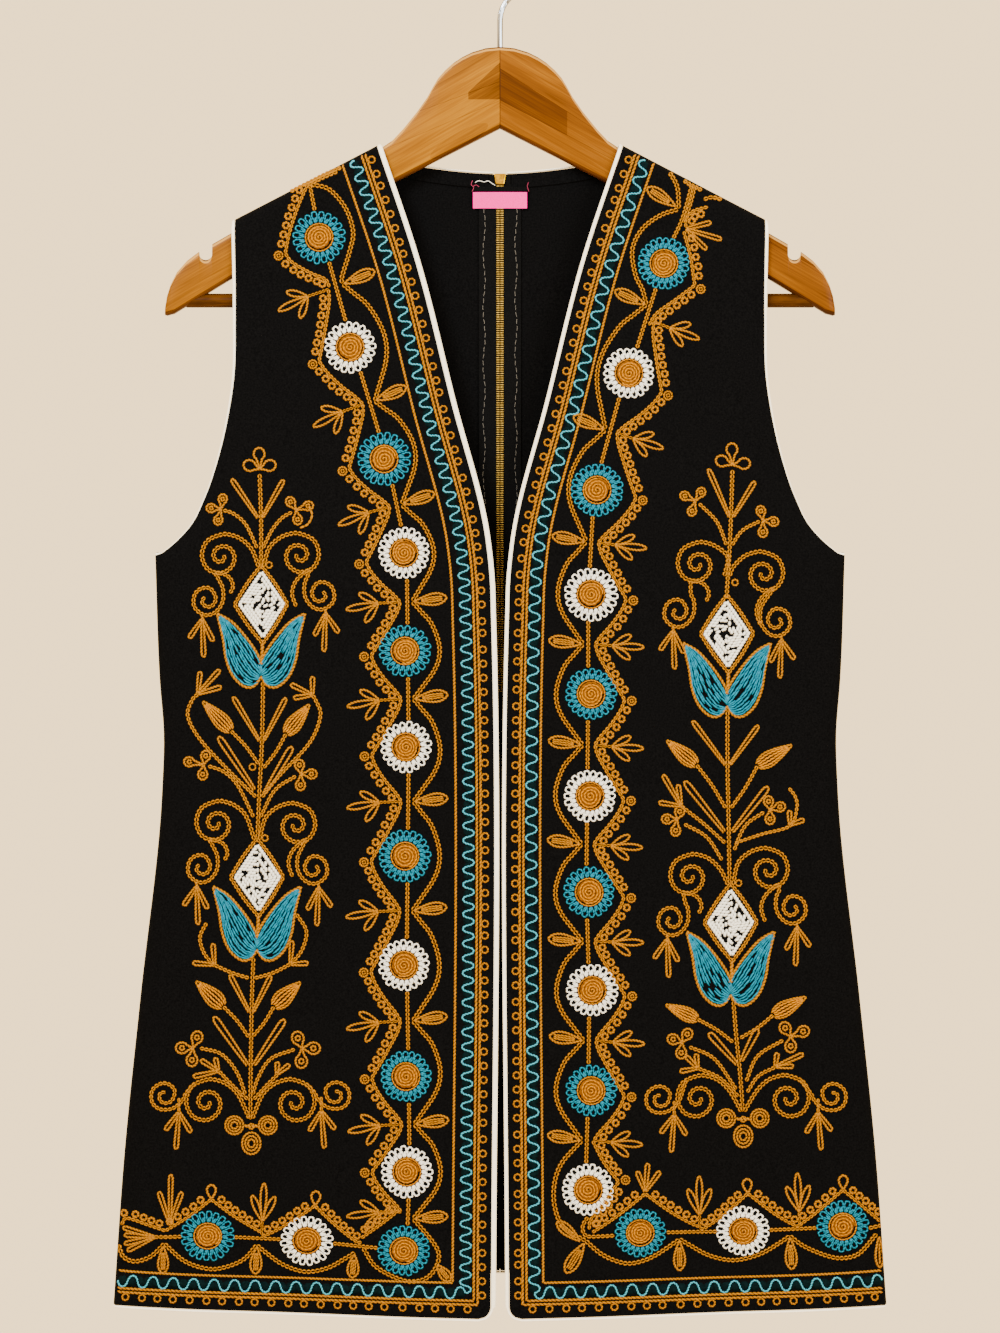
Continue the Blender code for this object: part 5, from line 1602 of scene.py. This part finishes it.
def photo_thread(spots, lift):
    """Loose thread through photo points, just in front of the label."""
    path = smooth_path(spots, pieces=4)
    x = (path[:, 0] - PHOTO_CENTRE_X) / PIXELS_PER_METRE
    z = photo_height(path[:, 1])
    return np.stack((x, label_front(x, np.minimum(z, LABEL_TOP_Z)) - lift, z), axis=1)


CORNER_THREADS = (((472.5, 178), (471, 182), (473.5, 185), (472, 189)),
                  ((528.5, 180), (527.5, 184), (529, 189)),
                  ((473, 184), (476, 182.5), (479, 184.5)))
LABEL_THREAD_RADIUS = 0.0002
LOOSE_THREAD = ((475, 180), (479, 178.3), (484, 179.5), (488, 178.5), (492, 181), (495, 183))
fine_cords("label_corner_threads", [photo_thread(spots, 0.0003) for spots in CORNER_THREADS],
           LABEL_THREAD_RADIUS, RUBY)
fine_cords("label_loose_thread", [photo_thread(LOOSE_THREAD, 0.0004)],
           LABEL_THREAD_RADIUS, LOOSE_WHITE)

# Hanger: heights are falls below the top of the wood, distances from the centre
WOOD_TOP = ((0.0, 0.0), (0.0095, 0.0009), (0.0185, 0.0036), (0.0250, 0.0068), (0.0308, 0.0106),
            (0.0365, 0.0157), (0.0410, 0.0208), (0.0448, 0.0272), (0.0480, 0.0331), (0.0549, 0.0430),
            (0.0642, 0.0545), (0.0714, 0.0622), (0.0790, 0.0673), (0.1806, 0.1250), (0.1997, 0.1360),
            (0.2077, 0.1420), (0.2143, 0.1495), (0.2183, 0.1574), (0.2209, 0.1653), (0.2222, 0.1730))
WOOD_BOTTOM = ((0.0, 0.0542), (0.0701, 0.0899), (0.1806, 0.1554), (0.2160, 0.1770), (0.2209, 0.1783),
               (0.2222, 0.1778))
WOOD_HALF = 0.0060
WOOD_ROUND = 0.0038
WOOD_TIP = 0.2222
NOTCH_X = 0.1952
NOTCH_DROP = 0.1370
NOTCH_RADIUS = 0.0044


def wood_top(x):
    """Fall of the arm's upper line, with the strap notch cut in."""
    places, falls = np.array(WOOD_TOP).T
    fall = np.interp(x, places, falls)
    reach = np.abs(x - NOTCH_X)
    sunk = NOTCH_DROP + np.sqrt(np.maximum(NOTCH_RADIUS ** 2 - reach ** 2, 0.0))
    return np.where(reach < NOTCH_RADIUS, np.maximum(fall, sunk), fall)


def wood_mesh(side):
    """Rounded section carried along one arm, with stations close together at the notch and tip."""
    stops = [0.0, 0.0006, 0.0014] + [row[0] for row in WOOD_TOP[1:] + WOOD_BOTTOM[1:]]
    stops += list(np.linspace(0.002, WOOD_TIP - 0.004, 90))
    stops += list(WOOD_TIP - 0.004 * np.linspace(1.0, 0.0, 12) ** 2)
    stops += list(NOTCH_X + NOTCH_RADIUS * np.cos(np.linspace(0.0, math.pi, 17)))
    stops += [NOTCH_X - 1.12 * NOTCH_RADIUS, NOTCH_X + 1.12 * NOTCH_RADIUS]
    stops = sorted({round(float(stop), 5) for stop in stops})
    x = np.array([stops[0]] + [stop for last, stop in zip(stops, stops[1:]) if stop - last > 0.00004])
    high, low = wood_top(x), np.interp(x, *np.array(WOOD_BOTTOM).T)
    nose = np.clip((WOOD_TIP - x) / WOOD_HALF, 0.0, 1.0)
    half = WOOD_HALF * (0.6 + 0.4 * np.sqrt(1 - (1 - nose) ** 2))
    ease = np.where(x < 0.0005, 0.00004, 0.0)
    half = half - ease
    high = high + ease
    low = low - ease
    radius = np.minimum(WOOD_ROUND, 0.45 * (low - high))
    ring = []
    for corner, (sign_y, upper) in enumerate(((1, True), (-1, True), (-1, False), (1, False))):
        for turn in np.radians(90 * corner + np.linspace(0.0, 90.0, 6)):
            level = -high - radius if upper else -low + radius
            ring.append((sign_y * (half - radius) + radius * math.cos(turn), level + radius * math.sin(turn)))
    points = np.stack([np.stack((side * x, y, z - WOOD_TOP_DEPTH), axis=1) for y, z in ring], axis=1)
    rings, count = points.shape[:2]
    faces = [tuple(range(count)), tuple(range((rings - 1) * count, rings * count))]
    for row in range(rings - 1):
        for index in range(count):
            second = (index + 1) % count
            faces.append((row * count + index, row * count + second, (row + 1) * count + second,
                          (row + 1) * count + index))
    return points.reshape(-1, 3), faces


def math_node(tree, operation, terms):
    """Math node of the given inputs, each a number or another node's output."""
    node = tree.nodes.new("ShaderNodeMath")
    node.operation = operation
    for socket, term in zip(node.inputs, terms):
        if isinstance(term, (int, float)):
            socket.default_value = term
        else:
            tree.links.new(term, socket)
    return node.outputs[0]


# Wood: half widths of its dark lines, how far up a face looks, and changes of shade, with painted shade on
# faces turned up or under and a painted highlight colour on the rounded upper edges
GRAIN_LEAN = 30.0
JOINT_LINE, JOINT_CHANGE = 0.00022, -0.16
MITRE_LINE, MITRE_CHANGE = 0.00035, -0.22
DARK_END_X, DARK_END_CHANGE = 0.16, -0.07
PATCH_CHANGE = -0.09
TOP_FACING, TOP_PAINTED_SHADE = 0.72, -0.20
UNDER_FACING, UNDER_PAINTED_SHADE = -0.30, -0.30
PAINTED_HIGHLIGHT_FACING = 0.34
PAINTED_HIGHLIGHT_COLOUR = (0.50, 0.28, 0.075)


def wood_material(name, side, tones, strips, inlay, patch=None):
    """Varnished wood: grain along the arm, glued strips and an inlaid darker piece, with painted shade on its
    top and underside and a painted highlight along its upper edges.
    """
    material = bpy.data.materials.new(name)
    material.use_nodes = True
    tree = material.node_tree
    nodes, links = tree.nodes, tree.links
    shader = nodes["Principled BSDF"]
    place = nodes.new("ShaderNodeTexCoord")
    parts = nodes.new("ShaderNodeSeparateXYZ")
    links.new(place.outputs["Object"], parts.inputs["Vector"])

    def calc(operation, *terms):
        return math_node(tree, operation, terms)

    away = calc("ABSOLUTE", parts.outputs["X"])
    fall = calc("MULTIPLY_ADD", parts.outputs["Z"], -1.0, -WOOD_TOP_DEPTH)
    turn = nodes.new("ShaderNodeMapping")
    turn.inputs["Rotation"].default_value = (0.0, math.radians(-side * GRAIN_LEAN), 0.0)
    links.new(place.outputs["Object"], turn.inputs["Vector"])

    def streaks(scale, detail):
        squeeze = nodes.new("ShaderNodeMapping")
        squeeze.inputs["Scale"].default_value = scale
        links.new(turn.outputs["Vector"], squeeze.inputs["Vector"])
        noise = nodes.new("ShaderNodeTexNoise")
        noise.inputs["Scale"].default_value = 1.0
        noise.inputs["Detail"].default_value = detail
        noise.inputs["Distortion"].default_value = 0.6
        links.new(squeeze.outputs["Vector"], noise.inputs["Vector"])
        return noise.outputs["Fac"]

    fine = streaks((22.0, 160.0, 900.0), 5.0)
    broad = streaks((9.0, 40.0, 110.0), 3.0)
    shade = calc("ADD", calc("MULTIPLY", fine, 0.45), calc("MULTIPLY", broad, 0.55))
    for start, slope, change in strips:
        offset = calc("SUBTRACT", fall, calc("MULTIPLY_ADD", away, slope, start))
        below = calc("GREATER_THAN", offset, 0.0)
        shade = calc("MULTIPLY_ADD", below, change, shade)
        joint = calc("LESS_THAN", calc("ABSOLUTE", offset), JOINT_LINE)
        shade = calc("MULTIPLY_ADD", joint, JOINT_CHANGE, shade)
    inside = calc("LESS_THAN", away, inlay["end"])
    for sign, (start, slope) in ((1.0, inlay["above"]), (-1.0, inlay["below"])):
        offset = calc("SUBTRACT", fall, calc("MULTIPLY_ADD", away, slope, start))
        kept = calc("GREATER_THAN", calc("MULTIPLY", offset, sign), 0.0)
        inside = calc("MULTIPLY", inside, kept)
    shade = calc("MULTIPLY_ADD", inside, inlay["change"], shade)
    if patch:
        lean = math.radians(GRAIN_LEAN)
        run = calc("ADD", calc("MULTIPLY", away, math.cos(lean)),
                   calc("MULTIPLY", fall, math.sin(lean)))
        rise = calc("SUBTRACT", calc("MULTIPLY", fall, math.cos(lean)),
                    calc("MULTIPLY", away, math.sin(lean)))
        reach = calc("DIVIDE", calc("SUBTRACT", run, patch["along"]), patch["half_length"])
        width = calc("DIVIDE", calc("SUBTRACT", rise, patch["across"]), patch["half_width"])
        squares = calc("ADD", calc("POWER", reach, 2.0), calc("POWER", width, 2.0))
        shade = calc("MULTIPLY_ADD", calc("LESS_THAN", squares, 1.0), PATCH_CHANGE, shade)
    shade = calc("MULTIPLY_ADD", calc("LESS_THAN", away, MITRE_LINE), MITRE_CHANGE, shade)
    shade = calc("MULTIPLY_ADD", calc("GREATER_THAN", away, DARK_END_X), DARK_END_CHANGE, shade)
    facing = nodes.new("ShaderNodeSeparateXYZ")
    links.new(place.outputs["Normal"], facing.inputs["Vector"])
    upward = facing.outputs["Z"]
    # Painted shade: faces that look up past TOP_FACING or down past UNDER_FACING are darkened
    shade = calc("MULTIPLY_ADD", calc("GREATER_THAN", upward, TOP_FACING), TOP_PAINTED_SHADE, shade)
    shade = calc("MULTIPLY_ADD", calc("LESS_THAN", upward, UNDER_FACING), UNDER_PAINTED_SHADE, shade)
    # Painted highlight: the rounded upper edges are mixed toward a pale highlight colour
    steep, not_top = calc("GREATER_THAN", upward, PAINTED_HIGHLIGHT_FACING), calc("LESS_THAN", upward, TOP_FACING)
    painted_highlight = calc("MULTIPLY", steep, not_top)
    ramp = colour_ramp(nodes, tones)
    links.new(shade, ramp.inputs["Fac"])
    highlight_mix = nodes.new("ShaderNodeMix")
    highlight_mix.data_type = "RGBA"
    links.new(calc("MULTIPLY", painted_highlight, 0.55), highlight_mix.inputs["Factor"])
    links.new(ramp.outputs["Color"], highlight_mix.inputs[6])
    highlight_mix.inputs[7].default_value = (*PAINTED_HIGHLIGHT_COLOUR, 1.0)
    links.new(highlight_mix.outputs[2], shader.inputs["Base Color"])
    shader.inputs["Roughness"].default_value = 0.36
    shader.inputs["Specular IOR Level"].default_value = 0.05
    relief = nodes.new("ShaderNodeBump")
    relief.inputs["Strength"].default_value = 0.12
    relief.inputs["Distance"].default_value = 0.0002
    links.new(fine, relief.inputs["Height"])
    links.new(relief.outputs["Normal"], shader.inputs["Normal"])
    return material


LEFT_TONES = ((0.10, (0.034, 0.009, 0.0001)), (0.32, (0.095, 0.030, 0.0003)), (0.50, (0.168, 0.060, 0.0006)),
              (0.68, (0.240, 0.098, 0.0014)))
RIGHT_TONES = ((0.10, (0.028, 0.007, 0.0001)), (0.32, (0.068, 0.019, 0.0002)), (0.50, (0.122, 0.038, 0.0004)),
               (0.68, (0.196, 0.072, 0.0010)))

# Joint lines: fall at the middle, slope, and the change of shade below the line
LEFT_STRIPS = ((0.0360, 0.42, 0.03), (0.0233, 0.37, 0.02))
RIGHT_STRIPS = ((0.0148, 0.64, -0.07), (0.0355, 0.53, 0.10))
LEFT_INLAY = {"end": 0.0210, "above": (0.0106, 0.94), "below": (0.0352, 0.0), "change": -0.26}
RIGHT_INLAY = {"end": 0.0445, "above": (0.0148, 0.64), "below": (0.0355, 0.53), "change": -0.13}
LEFT_PATCH = {"along": 0.0549, "half_length": 0.0220, "across": 0.0408, "half_width": 0.0052}
ARM_WOOD = {
    -1: wood_material("varnished_wood_left", -1, LEFT_TONES, LEFT_STRIPS, LEFT_INLAY, LEFT_PATCH),
    1: wood_material("varnished_wood_right", 1, RIGHT_TONES, RIGHT_STRIPS, RIGHT_INLAY),
}
PEG_WOOD = noisy_material("peg_wood", (0.018, 0.005, 0.0002), (0.062, 0.020, 0.0005), 1.0, 0.5,
                          stretch=(60.0, 400.0, 400.0), shine=0.04)
for side, hand in SIDES:
    points, faces = wood_mesh(side)
    arm = new_mesh("hanger_wood_" + hand, points, faces, [ARM_WOOD[side]], sharp=50)
    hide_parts("hanger_arm_" + hand)

# Seams: turned-in cloth and thread that close the joins at the sides, shoulders and centre back
SEAM_INSET = 0.0007
SEAM_RADIUS = 0.0006
seam_z = np.linspace(LOW_SIDE_Z + 0.001, UNDERARM_Z - 0.001, 60)
shoulder_x = np.linspace(BACK_END_X + 0.001, TIP_X - 0.002, 30)
centre_z = np.linspace(LOW_CENTRE_Z + BACK_HEM_LIFT + 0.001, ZIP_LOW_Z, 60)
seams = [np.stack((side * (outer_edge(seam_z) - SEAM_INSET), 0 * seam_z, seam_z), axis=1) for side in (-1, 1)]
seams += [np.stack((side * shoulder_x, 0 * shoulder_x, shoulder_line(shoulder_x) - SEAM_INSET), axis=1)
          for side in (-1, 1)]
seams.append(np.stack((0 * centre_z, back_face(0.0, centre_z) - SEAM_INSET, centre_z), axis=1))
fine_cords("joined_seams", seams, SEAM_RADIUS, SEWN_BLACK, sides=8)

PLAIN_FINISHES = {
    "neck_facing_right": CLOTH, "neck_facing_left": CLOTH, "zip_slider": BRASS, "zip_pull": BRASS,
    "hanger_bar_right": PEG_WOOD, "hanger_bar_left": PEG_WOOD, "hanger_hook": CHROME,
}
for name, material in PLAIN_FINISHES.items():
    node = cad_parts.get(name)
    if node is not None:
        node.data.materials.clear()
        node.data.materials.append(material)

# Studio: pale floor, soft lights and the camera square to the front
PHOTO_CENTRE_Z = photo_height(PHOTO_HEIGHT / 2)
CAMERA_DISTANCE = 4.0
CLOTH_FRONT = 0.014
SENSOR_HEIGHT = 24.0
FRAME_HEIGHT = PHOTO_HEIGHT / PIXELS_PER_METRE

camera_data = bpy.data.cameras.new("camera")
camera_data.sensor_fit = "VERTICAL"
camera_data.sensor_height = SENSOR_HEIGHT
camera_data.lens = SENSOR_HEIGHT * (CAMERA_DISTANCE - CLOTH_FRONT) / FRAME_HEIGHT
camera = bpy.data.objects.new("camera", camera_data)
camera.location = (0.0, -CAMERA_DISTANCE, PHOTO_CENTRE_Z)
camera.rotation_euler = (math.radians(90), 0.0, 0.0)
bpy.context.scene.collection.objects.link(camera)
bpy.context.scene.camera = camera

FLOOR_Z = -1.6
builder = bmesh.new()
bmesh.ops.create_circle(builder, cap_ends=True, segments=96, radius=2.4)
floor_mesh = bpy.data.meshes.new("floor")
builder.to_mesh(floor_mesh)
builder.free()
floor = bpy.data.objects.new("floor", floor_mesh)
floor.location = (0.0, 0.0, FLOOR_Z)
bpy.context.scene.collection.objects.link(floor)
floor_mesh.materials.append(noisy_material("floor_paint", (0.70, 0.64, 0.56), (0.74, 0.67, 0.59), 3.0, 0.8))

ROOM_COLOUR = (1.0, 0.710, 0.370)
ROOM_STRENGTH = 2.7
LIGHT_COLOUR = (0.86, 0.96, 1.0)
world = bpy.data.worlds.new("studio")
world.use_nodes = True
background = world.node_tree.nodes["Background"]
background.inputs["Color"].default_value = (*ROOM_COLOUR, 1.0)
background.inputs["Strength"].default_value = ROOM_STRENGTH
bpy.context.scene.world = world


def soft_light(name, place, aim, size, power):
    """Round area light turned toward a point."""
    data = bpy.data.lights.new(name, "AREA")
    data.shape = "DISK"
    data.size = size
    data.energy = power
    data.color = LIGHT_COLOUR
    light = bpy.data.objects.new(name, data)
    light.location = place
    light.rotation_euler = (Vector(aim) - Vector(place)).to_track_quat("-Z", "Y").to_euler()
    bpy.context.scene.collection.objects.link(light)


soft_light("key_light", (-0.9, -1.6, 0.7), (0.0, 0.0, -0.4), 0.9, 90.0)
soft_light("fill_light", (1.3, -1.4, 0.0), (0.0, 0.0, -0.5), 1.2, 45.0)
